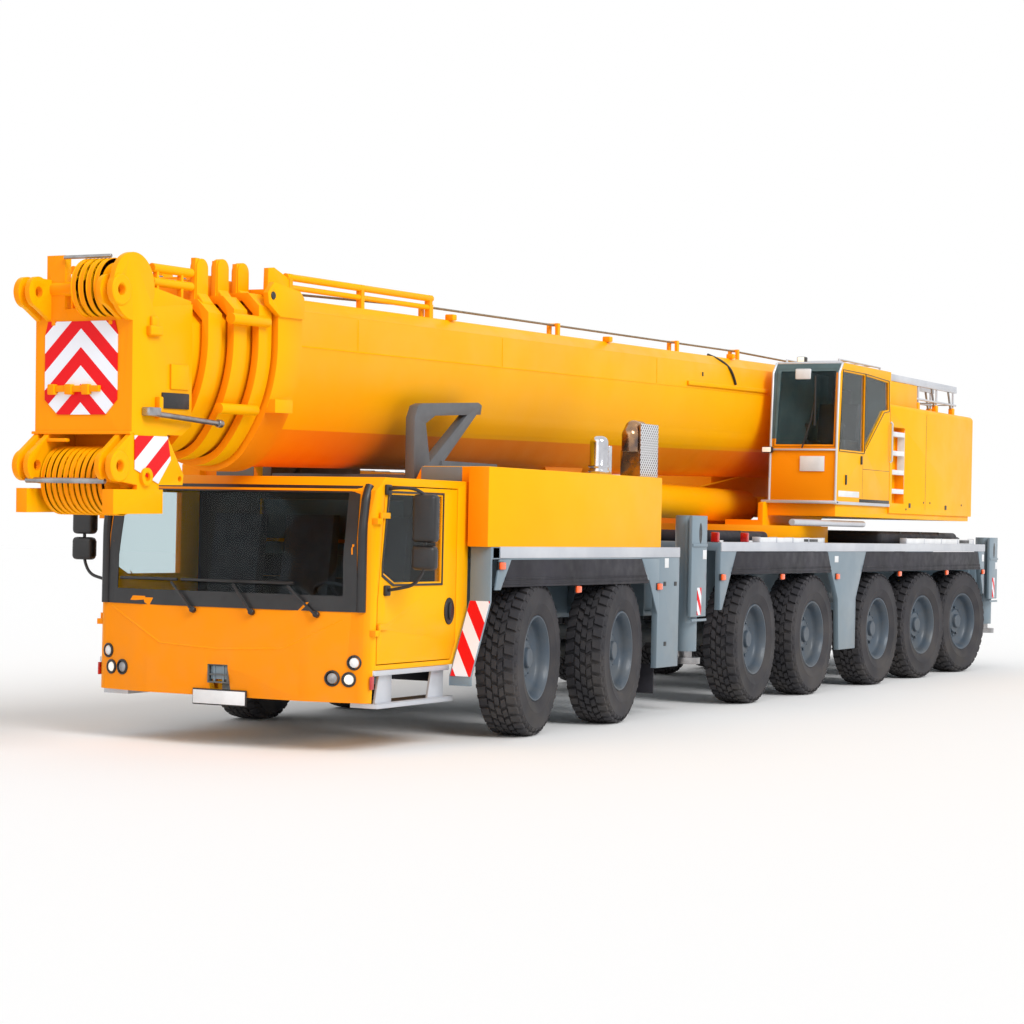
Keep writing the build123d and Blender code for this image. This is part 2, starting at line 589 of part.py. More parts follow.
# ---------------------------------------------------------------- superstructure
def turntable():
    """Slew ring, platform, boom foot brackets and cylinder foot."""
    frame = rod_z(REAR_DECK[1] + SEAT, PLATFORM_Z, SLEW_X, 0, RING_RADIUS)
    outer, foot_x, top = BRACKET_Y[1], CYLINDER_FOOT[0], BOOM_PIVOT_Z + 160
    tail_x, front_x, housing_x = PLATFORM_X[0], PLATFORM_X[1], HOUSING_X[1]
    frame += block(housing_x + 50, front_x, -outer, outer, PLATFORM_Z, PLATFORM_Z + 60)
    frame -= block(foot_x - 240, front_x + 250, -230, 230, PLATFORM_Z, PLATFORM_Z + 300)
    frame += block(tail_x, housing_x + 100, -outer, outer, TAIL_Z, HOUSING_Z[0])
    for side in (1, -1):
        frame += side_plate([
            (tail_x, TAIL_Z), (housing_x, TAIL_Z), (housing_x + 200, PLATFORM_Z), (front_x, PLATFORM_Z),
            (front_x, 2080), (-3300, 2240), (-5400, 2500), (BOOM_PIVOT_X + 200, top),
            (BOOM_PIVOT_X - 200, top), (BOOM_PIVOT_X - 600, 2500), (tail_x, 2900)],
            side * BRACKET_Y[0], side * outer)
        frame += block(foot_x - 220, foot_x + 220, side * 235, side * 300, PLATFORM_Z, 2120)
        frame += block(tail_x, housing_x, side * (outer - 2), side * (HALF_WIDTH - 20),
                       TAIL_Z, HOUSING_Z[0] - SEAT)
    frame += block(housing_x, CRANE_CAB_X[1] - 40, outer - 2, HALF_WIDTH - 20,
                   TAIL_Z, CRANE_CAB_Z[0] - SEAT)
    frame -= rod_y(-800, 800, BOOM_PIVOT_X, BOOM_PIVOT_Z, BOOM_PIN_RADIUS + PIN_GAP)
    frame -= rod_y(-800, 800, WINCH_X, WINCH_Z, 55 + PIN_GAP)
    return frame + rod_y(-300, 300, *CYLINDER_FOOT, 60)


def rear_housing():
    """Side housings beside the boom foot: the left has a ladder recess and a box on top."""
    left = block(*HOUSING_X, HOUSING_INNER_Y, HALF_WIDTH, *HOUSING_Z)
    left = fillet(left.edges().filter_by(Axis.X).group_by(Axis.Z)[-1].sort_by(Axis.Y)[-1:], 60)
    right = other_side(left)
    left -= block(LADDER_X[0], LADDER_X[1], HALF_WIDTH - 120, HALF_WIDTH + 10, 2125, 3025)
    for z in (2240, 2465, 2690, 2915):
        left += block(LADDER_X[0] - 5, LADDER_X[1] + 5, HALF_WIDTH - 90, HALF_WIDTH - 5, z, z + 55)
    box = block(HOUSING_BOX[0], HOUSING_X[1], *HOUSING_BOX[1:3], HOUSING_Z[1] + SEAT, HOUSING_BOX[3])
    return separate(left, right, box)


def winch_drum():
    """Hoist winch drum with rope turns and flanges."""
    drum = rod_y(-450, 450, WINCH_X, WINCH_Z, WINCH_RADIUS)
    for y in (-470, 440):
        drum += rod_y(y, y + 30, WINCH_X, WINCH_Z, WINCH_RADIUS + 80)
    drum += rod_y(-BRACKET_Y[1], BRACKET_Y[1], WINCH_X, WINCH_Z, 55)
    return drum


def crane_cab_block(inset):
    """The crane cab's outer form, drawn in by an inset."""
    x0, x1 = CRANE_CAB_X
    y0, y1 = CRANE_CAB_Y
    z0, z1 = CRANE_CAB_Z
    profile = side_plate([
        (x0 + inset, z0 + inset), (x1 - inset, z0 + inset), (x1 - inset - 20, z0 + 700), (x1 - inset - 60, z1 - 120),
        (x1 - inset - 160, z1 - inset), (x0 + inset, z1 - inset)], y0 + inset, y1 - inset)
    return profile


FRONT_PANE = [(770, 2740), (1450, 2740), (1450, 3560), (800, 3560)]
SIDE_PANE = [(-3255, 2690), (-2450, 2690), (-2530, 3560), (-3255, 3560)]
REAR_PANE = [(-3300, 2710), (-3930, 3190), (-4120, 3215), (-4090, 3530), (-3300, 3560)]


def crane_cab_shell():
    """Crane cab body with its window openings."""
    shell = crane_cab_block(0) - crane_cab_block(CRANE_CAB_WALL)
    shell -= cross_plate(FRONT_PANE, CRANE_CAB_X[1] - 200, CRANE_CAB_X[1] + 100)
    for pane in (SIDE_PANE, REAR_PANE):
        shell -= side_plate(pane, 1300, 1600)
    return shell


def crane_cab_glass():
    """Panes of the crane cab."""
    sheet = crane_cab_block(12) - crane_cab_block(12 + GLASS)
    front = sheet & cross_plate(FRONT_PANE, CRANE_CAB_X[1] - 200, CRANE_CAB_X[1] + 100)
    side = sheet & side_plate(SIDE_PANE, 1400, 1600)
    rear = sheet & side_plate(REAR_PANE, 1400, 1600)
    return separate(front, side, rear)


def crane_cab_interior():
    """Seat and console."""
    floor = CRANE_CAB_Z[0] + CRANE_CAB_WALL
    seat = block(-3500, -3050, 870, 1330, floor, 2600)
    back = side_plate([(-3520, 2600), (-3400, 2600), (-3500, 3250), (-3600, 3250)], 870, 1330)
    return seat + back


# ---------------------------------------------------------------- boom
def boom_place():
    """The boom's own frame in the machine: foot pin at the origin, X along the boom."""
    return Pos(BOOM_PIVOT_X, 0, BOOM_PIVOT_Z) * Rot(0, BOOM_TILT, 0)


def section_outline(shrink, x):
    """A boom section's closed outline at x: flat top, creased sides and a rounded trough.

    The side arc and the bottom arc are tangent, which fixes the side arc's radius.
    """
    half = BASE_HALF_WIDTH - shrink
    top = BOOM_AXIS_RISE + BASE_TOP - shrink
    bottom = BOOM_AXIS_RISE + BASE_BOTTOM + shrink
    crease = BOOM_AXIS_RISE + CREASE_RISE
    radius = BOTTOM_RADIUS - shrink
    centre = bottom + radius
    drop = crease - centre
    side_radius = (half ** 2 + drop ** 2 - radius ** 2) / (2 * (half - radius))
    away = math.hypot(side_radius - half, drop)
    joint_y = radius * (side_radius - half) / away
    joint_z = centre - radius * drop / away
    lean = math.atan2(drop, side_radius - half) / 2
    mid_y = half - side_radius + side_radius * math.cos(lean)
    mid_z = crease - side_radius * math.sin(lean)
    shoulder = (half - SHOULDER_INSET, top, half, top - SHOULDER_DROP)
    return [
        Line((x, -shoulder[0], top), (x, shoulder[0], top)),
        Line((x, shoulder[0], top), (x, half, shoulder[3])),
        Line((x, half, shoulder[3]), (x, half, crease)),
        ThreePointArc((x, half, crease), (x, mid_y, mid_z), (x, joint_y, joint_z)),
        ThreePointArc((x, joint_y, joint_z), (x, 0, bottom), (x, -joint_y, joint_z)),
        ThreePointArc((x, -joint_y, joint_z), (x, -mid_y, mid_z), (x, -half, crease)),
        Line((x, -half, crease), (x, -half, shoulder[3])),
        Line((x, -half, shoulder[3]), (x, -shoulder[0], top)),
    ]


def section_bar(shrink, x0, x1):
    """A solid bar with a boom section's outline."""
    return extrude(make_face(section_outline(shrink, x0)), amount=x1 - x0, dir=(1, 0, 0))


def section_tube(shrink, x0, x1):
    """A tube with a boom section's outline and the section's wall."""
    return section_bar(shrink, x0, x1) - section_bar(shrink + SECTION_WALL, x0 - 1, x1 + 1)


def wear_pad(shrink, tail):
    """The pad on a section's tail that slides under the top of the section outside it."""
    top = BOOM_AXIS_RISE + BASE_TOP - shrink
    return block(tail, tail + 250, -200, 200, top - 5, top + SECTION_STEP - SECTION_WALL - SEAT)


def boom_section(index):
    """A telescoping section: tube, collar, and on all but the base two top fins and four side bars."""
    name, tail, collar_start, collar_end = SECTIONS[index]
    shrink = SECTION_STEP * index
    collar = section_bar(shrink - COLLAR_RISE, collar_start, collar_end)
    collar -= section_bar(shrink + SECTION_WALL, collar_start - 1, collar_end + 1)
    section = section_tube(shrink, tail, collar_end) + collar
    if index == 0:
        return section
    section += wear_pad(shrink, tail)
    top = BOOM_AXIS_RISE + BASE_TOP - shrink
    tip = BOOM_AXIS_RISE + FIN_TOP
    for side in (1, -1):
        section += side_plate([(collar_start, top - 5), (collar_end - 90, tip - 60), (collar_end - 60, tip),
                               (collar_end - 10, tip), (collar_end, top - 5)], side * 330, side * 370)
    return section


def collar_bars():
    """Round bars beside the first telescope's collar, reaching forward past the collars ahead."""
    start, end = SECTIONS[1][2] + 90, SECTIONS[-1][2] + 40
    bars = Part()
    for side in (1, -1):
        for rise, y in COLLAR_BARS:
            z = BOOM_AXIS_RISE + rise
            bars += rod_x(start, end, side * y, z, 40)
            bars += block(start, start + 70, side * (y - 60), side * y, z - 30, z + 30)
    return bars


def boom_base():
    """Base section with the foot pin, cylinder bracket, collar plates, strut and rope guides."""
    base = boom_section(0)
    centre = BOOM_AXIS_RISE
    top = centre + BASE_TOP
    for side in (1, -1):
        base += block(SECTIONS[0][1], 700, side * (BASE_HALF_WIDTH - 80), side * BASE_HALF_WIDTH,
                      -300, 500)
    base -= side_plate([(-400, top - 287), (-27, top + 10), (-400, top + 10)], -HALF_WIDTH, HALF_WIDTH)
    base += rod_y(-BRACKET_Y[1], BRACKET_Y[1], 0, 0, BOOM_PIN_RADIUS)
    eye = boom_place().inverse() * Pos(CYLINDER_EYE[0], 0, CYLINDER_EYE[1])
    ex, ez = eye.position.X, eye.position.Z
    floor = centre + BASE_BOTTOM
    for side in (1, -1):
        base += side_plate([(ex - 500, floor + 60), (ex - 120, ez - 110),
                            (ex + 120, ez - 110), (ex + 350, floor + 60)], side * 150, side * 200)
    base += rod_y(-200, 200, ex, ez, 55)
    start, end = SECTIONS[0][2:]
    for side in (1, -1):
        near, far = side * (BASE_HALF_WIDTH + 20), side * (BASE_HALF_WIDTH + COLLAR_RISE + 20)
        base += side_plate([(start, centre + 480), (end, centre + 480), (end + 160, centre + 570),
                            (end + 175, centre + 650), (end + 90, centre + 735), (start + 60, centre + 690),
                            (start, centre + 640)], near, far)
        base -= rod_y(near - 50, near + 110, end + 101, centre + 632, 32)
        base += block(end - 250, end - 5, side * (BASE_HALF_WIDTH - 80), near, centre - 244, centre - 143)
    for rise, radius in ((165, 28), (88, 22)):
        base += rod_x(*STRUT_X, STRUT_Y, top + rise, radius)
    for x in (STRUT_X[0] + 20, (STRUT_X[0] + STRUT_X[1]) / 2, STRUT_X[1] - 70):
        base += block(x, x + 50, STRUT_Y - 25, STRUT_Y + 25, top - 5, top + 190)
    base += side_plate([(STRUT_X[1] - 20, top - 5), (start + 270, top - 5), (start + 260, top + 210),
                        (start + 180, top + 220), (STRUT_X[1] - 20, top + 150)], STRUT_Y - 20, STRUT_Y + 20)
    for x in GUIDES_X:
        for y in (280, 370):
            base += block(x - 25, x + 25, y, y + 30, top - 5, top + 125)
        base += rod_y(280, 400, x, top + 110, 15)
    return base


def pin_plate(corners, y0, y1, pin):
    """A plate with a boss round a jib pin's hole."""
    plate = side_plate(corners, y0, y1) + rod_y(y0, y1, *pin, PIN_BOSS_RADIUS)
    return plate - rod_y(y0 - 1, y1 + 1, *pin, JIB_PIN_RADIUS)


def boom_head():
    """Innermost section with the head box, the jib pins' plates and the rope sheaves."""
    shrink = SECTION_STEP * len(SECTIONS)
    centre = BOOM_AXIS_RISE
    rear, front = HEAD_BOX
    tube = section_tube(shrink, HEAD_TAIL, rear - SEAT) + wear_pad(shrink, HEAD_TAIL)
    head = side_plate([(rear, centre - 367), (rear, centre + HEAD_TOP[0]), (front, centre + HEAD_TOP[1]),
                       (front, centre + HEAD_BOTTOM), (rear + 120, centre + HEAD_BOTTOM)],
                      -HEAD_HALF_WIDTH, HEAD_HALF_WIDTH)
    upper = (UPPER_PIN[0], centre + UPPER_PIN[1])
    lower = (LOWER_PIN[0], centre + LOWER_PIN[1])
    floor = centre + HEAD_BOTTOM
    for near, far in CHEEKS:
        for side in (1, -1):
            y0, y1 = sorted((side * near, side * far))
            head += pin_plate([(front - 250, centre + 400), (front - 200, upper[1] + 90),
                               (upper[0] - 40, upper[1] + 100), (upper[0] + 80, upper[1] - 75),
                               (front - 5, centre + 360)], y0, y1, upper)
            head += pin_plate([(front - 330, floor + 5), (front - 5, floor + 5),
                               (lower[0] + 70, lower[1] + 84), (lower[0] + 40, lower[1] - 100),
                               (front - 60, lower[1] - 130), (front - 360, lower[1] - 130)],
                              y0, y1, lower)
    for side in (1, -1):
        near, far = side * CHEEKS[1][1], side * HEAD_HALF_WIDTH
        head += block(front - 380, front + 205, near, far, centre - 1005, centre - 832)
        head += block(front - 330, front - 70, side * CHEEKS[0][0], far, centre - 840, lower[1] - 120)
        gusset = side_plate([(front - 17, floor + 5), (front - 410, floor + 5), (front - 628, centre - 725),
                             (front - 615, centre - 800), (front - 314, centre - 800)],
                            side * CHEEKS[0][0], side * (HEAD_HALF_WIDTH + 5))
        head += gusset - rod_y(-HALF_WIDTH, HALF_WIDTH, front - 580, centre - 755, 22)
        bush = rod_y(*sorted((far, side * (HEAD_HALF_WIDTH + 30))), front - 155, centre - 743, 64)
        head += bush - rod_y(-HALF_WIDTH, HALF_WIDTH, front - 155, centre - 743, 32)
    x, z = SHEAVES_UPPER[5]
    disc = rod_y(*CHEEKS[0], x + 8, centre + z + 5, SHEAVES_UPPER[4] + 35)
    head += disc - rod_y(*CHEEKS[0], *upper, JIB_PIN_RADIUS)
    head += block(front - 70, front, -330, -170, centre + 380, centre + 830)    # rope guard's post
    for count, first, pitch, thick, radius, at in (SHEAVES_LOWER, SHEAVES_UPPER):
        x, z = at[0], centre + at[1]
        for index in range(count):
            y = first + index * pitch
            head += rod_y(y, y + thick, x, z, radius)
        head += rod_y(-HEAD_HALF_WIDTH + 25, HEAD_HALF_WIDTH - 25, x, z, 50)
    return tube, head


# ---------------------------------------------------------------- luffing cylinder
def cylinder_place():
    """The luffing cylinder's own frame: foot pin at the origin, X towards the rod eye."""
    rise = CYLINDER_EYE[1] - CYLINDER_FOOT[1]
    run = CYLINDER_EYE[0] - CYLINDER_FOOT[0]
    return Pos(CYLINDER_FOOT[0], 0, CYLINDER_FOOT[1]) * Rot(0, -math.degrees(math.atan2(rise, run)), 0)


def cylinder_length():
    """Pin to pin, at rest."""
    return math.dist(CYLINDER_FOOT, CYLINDER_EYE)


def luff_barrel():
    """Cylinder barrel with its foot eye."""
    barrel = rod_x(150, BARREL_LENGTH, 0, 0, BARREL_RADIUS)
    barrel += rod_y(-225, 225, 0, 0, 120) + block(0, 200, -150, 150, -100, 100)
    barrel -= rod_x(400, BARREL_LENGTH + 10, 0, 0, ROD_RADIUS + PIN_GAP)
    barrel -= rod_y(-300, 300, 0, 0, 60 + PIN_GAP)
    return barrel


def luff_rod():
    """Cylinder rod with its eye."""
    length = cylinder_length()
    rod = rod_x(450, length - 90, 0, 0, ROD_RADIUS) + rod_y(-140, 140, length, 0, 105)
    rod -= rod_y(-200, 200, length, 0, 55 + PIN_GAP)
    return rod


# ---------------------------------------------------------------- outriggers
def outrigger_beam(side, x, top):
    """Sliding beam with its jack tube and end plate."""
    inner = -side * (BOX_HALF_LENGTH - 40)
    end = side * (JACK_Y - 60)
    beam = block(x - BEAM_HALF, x + BEAM_HALF, inner, end, *BEAM_Z)
    beam += rod_z(JACK_BOTTOM, top, x, side * JACK_Y, JACK_RADIUS)
    beam += block(x - BEAM_HALF, x + BEAM_HALF, side * (JACK_Y + 100), side * HALF_WIDTH,
                  BEAM_Z[0] - 60, top)
    return beam - rod_z(JACK_BOTTOM - 10, top - 60, x, side * JACK_Y, JACK_ROD_RADIUS + PIN_GAP)


def outrigger_jack(side, x, top):
    """Jack rod with its foot."""
    rod = rod_z(PAD_Z[0], top - 100, x, side * JACK_Y, JACK_ROD_RADIUS)
    return rod + rod_z(*PAD_Z, x, side * JACK_Y, PAD_RADIUS)


# ---------------------------------------------------------------- nodes
def nodes():
    """Every node's name and shape."""
    yield "chassis_frame", chassis_frame()
    yield "axle_beams", separate(*[axle_beam(x, i != FIXED_AXLE) for i, x in enumerate(AXLE_X)])
    yield "deck_and_skirts", deck_and_skirts()
    yield "cab_shell", cab_shell()
    yield "cab_glass", cab_glass()
    yield "cab_interior", cab_interior()
    yield "engine_cover", engine_cover()
    yield "engine_and_exhaust", engine_and_exhaust()
    yield "boom_rest", boom_rest()
    for name, side in SIDES.items():
        yield f"cab_door_{name}", cab_door(side)
        yield f"door_glass_{name}", door_glass(side)
        for axle in range(len(AXLE_X)):
            steered = axle != FIXED_AXLE
            place = wheel_place(axle, side, steered)
            yield f"wheel_{axle + 1}_{name}", place * wheel(side)
            if steered:
                yield f"knuckle_{axle + 1}_{name}", place * knuckle(side)
    yield "turntable", turntable()
    yield "rear_housing", rear_housing()
    yield "winch_drum", winch_drum()
    yield "crane_cab_shell", crane_cab_shell()
    yield "crane_cab_glass", crane_cab_glass()
    yield "crane_cab_interior", crane_cab_interior()
    yield "boom_base", boom_place() * boom_base()
    for index in range(1, len(SECTIONS)):
        section = boom_section(index)
        if index == 1:
            section += collar_bars()
        yield SECTIONS[index][0], boom_place() * section
    yield "boom_head", separate(*[boom_place() * piece for piece in boom_head()])
    yield "luff_barrel", cylinder_place() * luff_barrel()
    yield "luff_rod", cylinder_place() * luff_rod()
    for name, side, x, top in OUTRIGGERS:
        yield f"beam_{name}", outrigger_beam(side, x, top)
        yield f"jack_{name}", outrigger_jack(side, x, top)


def main():
    os.makedirs("parts", exist_ok=True)
    for name, shape in nodes():
        export_step(shape, f"parts/{name}.step")


if __name__ == "__main__":
    main()
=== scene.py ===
import json
import logging
import math
from dataclasses import dataclass, field
from enum import Enum
from typing import Callable, Iterable, Optional, Sequence

import bmesh
import bpy
from mathutils import Matrix, Vector


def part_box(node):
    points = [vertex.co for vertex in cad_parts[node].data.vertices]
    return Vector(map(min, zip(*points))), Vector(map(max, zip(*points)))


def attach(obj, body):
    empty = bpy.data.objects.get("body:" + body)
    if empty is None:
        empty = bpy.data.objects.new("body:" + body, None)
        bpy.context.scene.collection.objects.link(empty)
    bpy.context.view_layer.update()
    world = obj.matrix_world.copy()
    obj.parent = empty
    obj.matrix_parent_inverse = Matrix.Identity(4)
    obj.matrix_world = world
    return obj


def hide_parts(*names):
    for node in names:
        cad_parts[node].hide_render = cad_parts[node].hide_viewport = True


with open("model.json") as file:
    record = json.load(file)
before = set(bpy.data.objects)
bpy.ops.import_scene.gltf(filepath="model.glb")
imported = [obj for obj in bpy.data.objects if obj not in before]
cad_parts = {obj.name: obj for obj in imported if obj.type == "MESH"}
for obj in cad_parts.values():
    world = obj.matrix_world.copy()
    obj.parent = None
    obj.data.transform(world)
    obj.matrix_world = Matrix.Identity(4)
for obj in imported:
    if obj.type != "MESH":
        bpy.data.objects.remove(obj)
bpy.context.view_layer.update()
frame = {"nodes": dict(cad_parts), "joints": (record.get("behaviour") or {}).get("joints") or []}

logging.basicConfig(level=logging.INFO, format="%(message)s")
LOG = logging.getLogger("mobile_crane")

Colour = tuple[float, float, float]
Point = tuple[float, float, float]
Flat = tuple[float, float]
Piece = bpy.types.Object
Socket = bpy.types.NodeSocket
Material = bpy.types.Material

UP = Vector((0, 0, 1))


def tone(red: int, green: int, blue: int) -> Colour:
    """A linear colour from its 0 to 255 display values."""
    def linear(value: float) -> float:
        share = value / 255
        return share / 12.92 if share <= 0.04045 else ((share + 0.055) / 1.055) ** 2.4
    return (linear(red), linear(green), linear(blue))


# ---------------------------------------------------------------- finishes
class NodeBench:
    """Builds one procedural material, node by node."""

    def __init__(self, name: str) -> None:
        """Starts a material with its Principled shader and object coordinates."""
        self.material = bpy.data.materials.new(name)
        self.material.use_nodes = True
        self.tree = self.material.node_tree
        self.shader = self.tree.nodes["Principled BSDF"]
        self.place = self.add("ShaderNodeTexCoord").outputs["Object"]

    def add(self, kind: str, **settings: object) -> bpy.types.Node:
        """Adds a node and sets its attributes."""
        node = self.tree.nodes.new(kind)
        for key, value in settings.items():
            setattr(node, key, value)
        return node

    def link(self, source: Socket, target: Socket) -> None:
        """Joins two sockets."""
        self.tree.links.new(source, target)

    def noise(self, scale: float, detail: float = 4.0, stretch: Point = (1, 1, 1)) -> Socket:
        """Noise on the piece's own coordinates.

        Args:
            scale: Cells per metre.
            detail: Octaves.
            stretch: How the coordinates are scaled along each axis first.

        Returns:
            The noise value's socket.
        """
        mapping = self.add("ShaderNodeMapping")
        mapping.inputs["Scale"].default_value = stretch
        self.link(self.place, mapping.inputs["Vector"])
        texture = self.add("ShaderNodeTexNoise")
        texture.inputs["Scale"].default_value = scale
        texture.inputs["Detail"].default_value = detail
        self.link(mapping.outputs["Vector"], texture.inputs["Vector"])
        return texture.outputs["Fac"]

    def math(self, operation: str, first: object, second: object = 0.0) -> Socket:
        """One step of arithmetic on sockets or numbers."""
        node = self.add("ShaderNodeMath", operation=operation)
        for index, value in enumerate((first, second)):
            if isinstance(value, (int, float)):
                node.inputs[index].default_value = value
            else:
                self.link(value, node.inputs[index])
        return node.outputs[0]

    def span(self, value: Socket, low: float, high: float, start: float, end: float) -> Socket:
        """Maps a value from low..high to start..end, held at both ends."""
        node = self.add("ShaderNodeMapRange")
        for key, number in zip(("From Min", "From Max", "To Min", "To Max"), (low, high, start, end)):
            node.inputs[key].default_value = number
        self.link(value, node.inputs["Value"])
        return node.outputs["Result"]

    def mix(self, share: Socket, first: object, second: object) -> Socket:
        """A colour between two, each a socket or a colour."""
        node = self.add("ShaderNodeMix", data_type="RGBA")
        self.link(share, node.inputs["Factor"])
        for key, value in (("A", first), ("B", second)):
            socket = [s for s in node.inputs if s.name == key and s.type == "RGBA"][0]
            if isinstance(value, tuple):
                socket.default_value = (*value, 1)
            else:
                self.link(value, socket)
        return [s for s in node.outputs if s.type == "RGBA"][0]

    def bump(self, height: Socket, strength: float, distance: float) -> None:
        """Roughens the surface by a height in metres."""
        node = self.add("ShaderNodeBump")
        node.inputs["Strength"].default_value = strength
        node.inputs["Distance"].default_value = distance
        self.link(height, node.inputs["Height"])
        self.link(node.outputs["Normal"], self.shader.inputs["Normal"])

    def set(self, **values: float) -> None:
        """Sets constants on the shader's own sockets."""
        for key, value in values.items():
            label = key.replace("_", " ").title().replace("Ior", "IOR")
            self.shader.inputs[label].default_value = value


@dataclass(frozen=True)
class Finish:
    """A finish whose colour and gloss vary gently over the surface; faces that point forward can take a
    painted shade colour.
    """

    name: str
    colour: Colour
    shade: Colour
    roughness: float = 0.4
    spread: float = 0.08
    metallic: float = 0.0
    coat: float = 0.0
    scale: float = 3.0
    grain: float = 60.0
    bump: float = 0.05
    depth: float = 0.001
    soot: float = 0.0
    glow: float = 0.0
    sheen: float = 0.5
    # colour painted as shade on faces that point forward, or None
    ahead: Optional[Colour] = None

    def build(self) -> Material:
        """Makes the material."""
        bench = NodeBench(self.name)
        cloud = bench.noise(self.scale)
        colour = bench.mix(bench.span(cloud, 0.35, 0.65, 0, 1), self.colour, self.shade)
        # Painted shade: faces blend to that colour as their own normal turns towards +X.
        if self.ahead is not None:
            facing = bench.add("ShaderNodeSeparateXYZ")
            bench.link(bench.add("ShaderNodeTexCoord").outputs["Normal"], facing.inputs[0])
            colour = bench.mix(bench.span(facing.outputs["X"], 0.35, 0.95, 0, 1), colour, self.ahead)
        if self.soot > 0:
            split = bench.add("ShaderNodeSeparateXYZ")
            bench.link(bench.place, split.inputs[0])
            low = bench.span(split.outputs["Z"], 0.2, 1.6, self.soot, 0)
            dirt = bench.math("MULTIPLY", low, bench.span(bench.noise(5, 6), 0.4, 0.7, 0.2, 1))
            colour = bench.mix(dirt, colour, tone(150, 140, 122))
        bench.link(colour, bench.shader.inputs["Base Color"])
        gloss = bench.span(bench.noise(self.scale * 4, 5), 0.3, 0.7,
                           max(0.02, self.roughness - self.spread), self.roughness + self.spread)
        bench.link(gloss, bench.shader.inputs["Roughness"])
        bench.bump(bench.noise(self.grain, 3), self.bump, self.depth)
        bench.set(metallic=self.metallic, coat_weight=self.coat, coat_roughness=0.06)
        bench.shader.inputs["Specular IOR Level"].default_value = self.sheen
        if self.glow > 0:
            bench.shader.inputs["Emission Color"].default_value = (*self.colour, 1)
            bench.set(emission_strength=self.glow)
        return bench.material


@dataclass(frozen=True)
class Glass:
    """Tinted pane or clear lamp glass."""

    name: str
    colour: Colour
    roughness: float = 0.02

    def build(self) -> Material:
        """Makes the material."""
        bench = NodeBench(self.name)
        bench.shader.inputs["Base Color"].default_value = (*self.colour, 1)
        gloss = bench.span(bench.noise(2.0, 3), 0.4, 0.7, self.roughness, self.roughness + 0.03)
        bench.link(gloss, bench.shader.inputs["Roughness"])
        bench.set(transmission_weight=1.0, ior=1.15)
        return bench.material


@dataclass(frozen=True)
class Striped:
    """Reflective red and white stripes across a plate.

    The stripes' height is the upright coordinate plus the side coordinate times lean, or
    less its distance from centre where they meet in a chevron.
    """

    name: str
    side_axis: str
    pitch: float
    lean: float
    centre: float = 0.0
    start: float = 0.0
    chevron: bool = False

    def build(self) -> Material:
        """Makes the material."""
        bench = NodeBench(self.name)
        split = bench.add("ShaderNodeSeparateXYZ")
        bench.link(bench.place, split.inputs[0])
        across = bench.math("SUBTRACT", split.outputs[self.side_axis], self.centre)
        if self.chevron:
            across = bench.math("ABSOLUTE", across)
        height = bench.math("ADD", split.outputs["Z"], bench.math("MULTIPLY", across, self.lean))
        turn = bench.math("FRACT", bench.math("DIVIDE", bench.math("SUBTRACT", height, self.start),
                                              self.pitch))
        stripe = bench.math("GREATER_THAN", turn, 0.5)
        colour = bench.mix(stripe, tone(228, 20, 28), tone(232, 234, 242))
        bench.link(colour, bench.shader.inputs["Base Color"])
        bench.link(bench.span(bench.noise(30), 0.3, 0.7, 0.28, 0.4), bench.shader.inputs["Roughness"])
        bench.bump(bench.noise(400, 2), 0.1, 0.0004)
        bench.set(coat_weight=0.05)
        bench.shader.inputs["Specular IOR Level"].default_value = 0.15
        return bench.material


@dataclass(frozen=True)
class Perforated:
    """Stainless sheet pierced by rows of round holes, over a dark inside."""

    name: str
    pitch: float

    def build(self) -> Material:
        """Makes the material."""
        bench = NodeBench(self.name)
        split = bench.add("ShaderNodeSeparateXYZ")
        bench.link(bench.place, split.inputs[0])
        across = bench.math("ADD", split.outputs["X"], split.outputs["Y"])

        def wave(value: Socket) -> Socket:
            return bench.math("SINE", bench.math("MULTIPLY", value, 2 * math.pi / self.pitch))
        hole = bench.math("MULTIPLY", wave(across), wave(split.outputs["Z"]))
        open_share = bench.math("GREATER_THAN", hole, 0.35)
        colour = bench.mix(open_share, tone(205, 205, 208), tone(60, 52, 48))
        bench.link(colour, bench.shader.inputs["Base Color"])
        bench.link(bench.span(open_share, 0, 1, 0.3, 0.8), bench.shader.inputs["Roughness"])
        bench.link(bench.span(open_share, 0, 1, 0.25, 0.0), bench.shader.inputs["Metallic"])
        bench.bump(hole, 0.4, 0.002)
        return bench.material


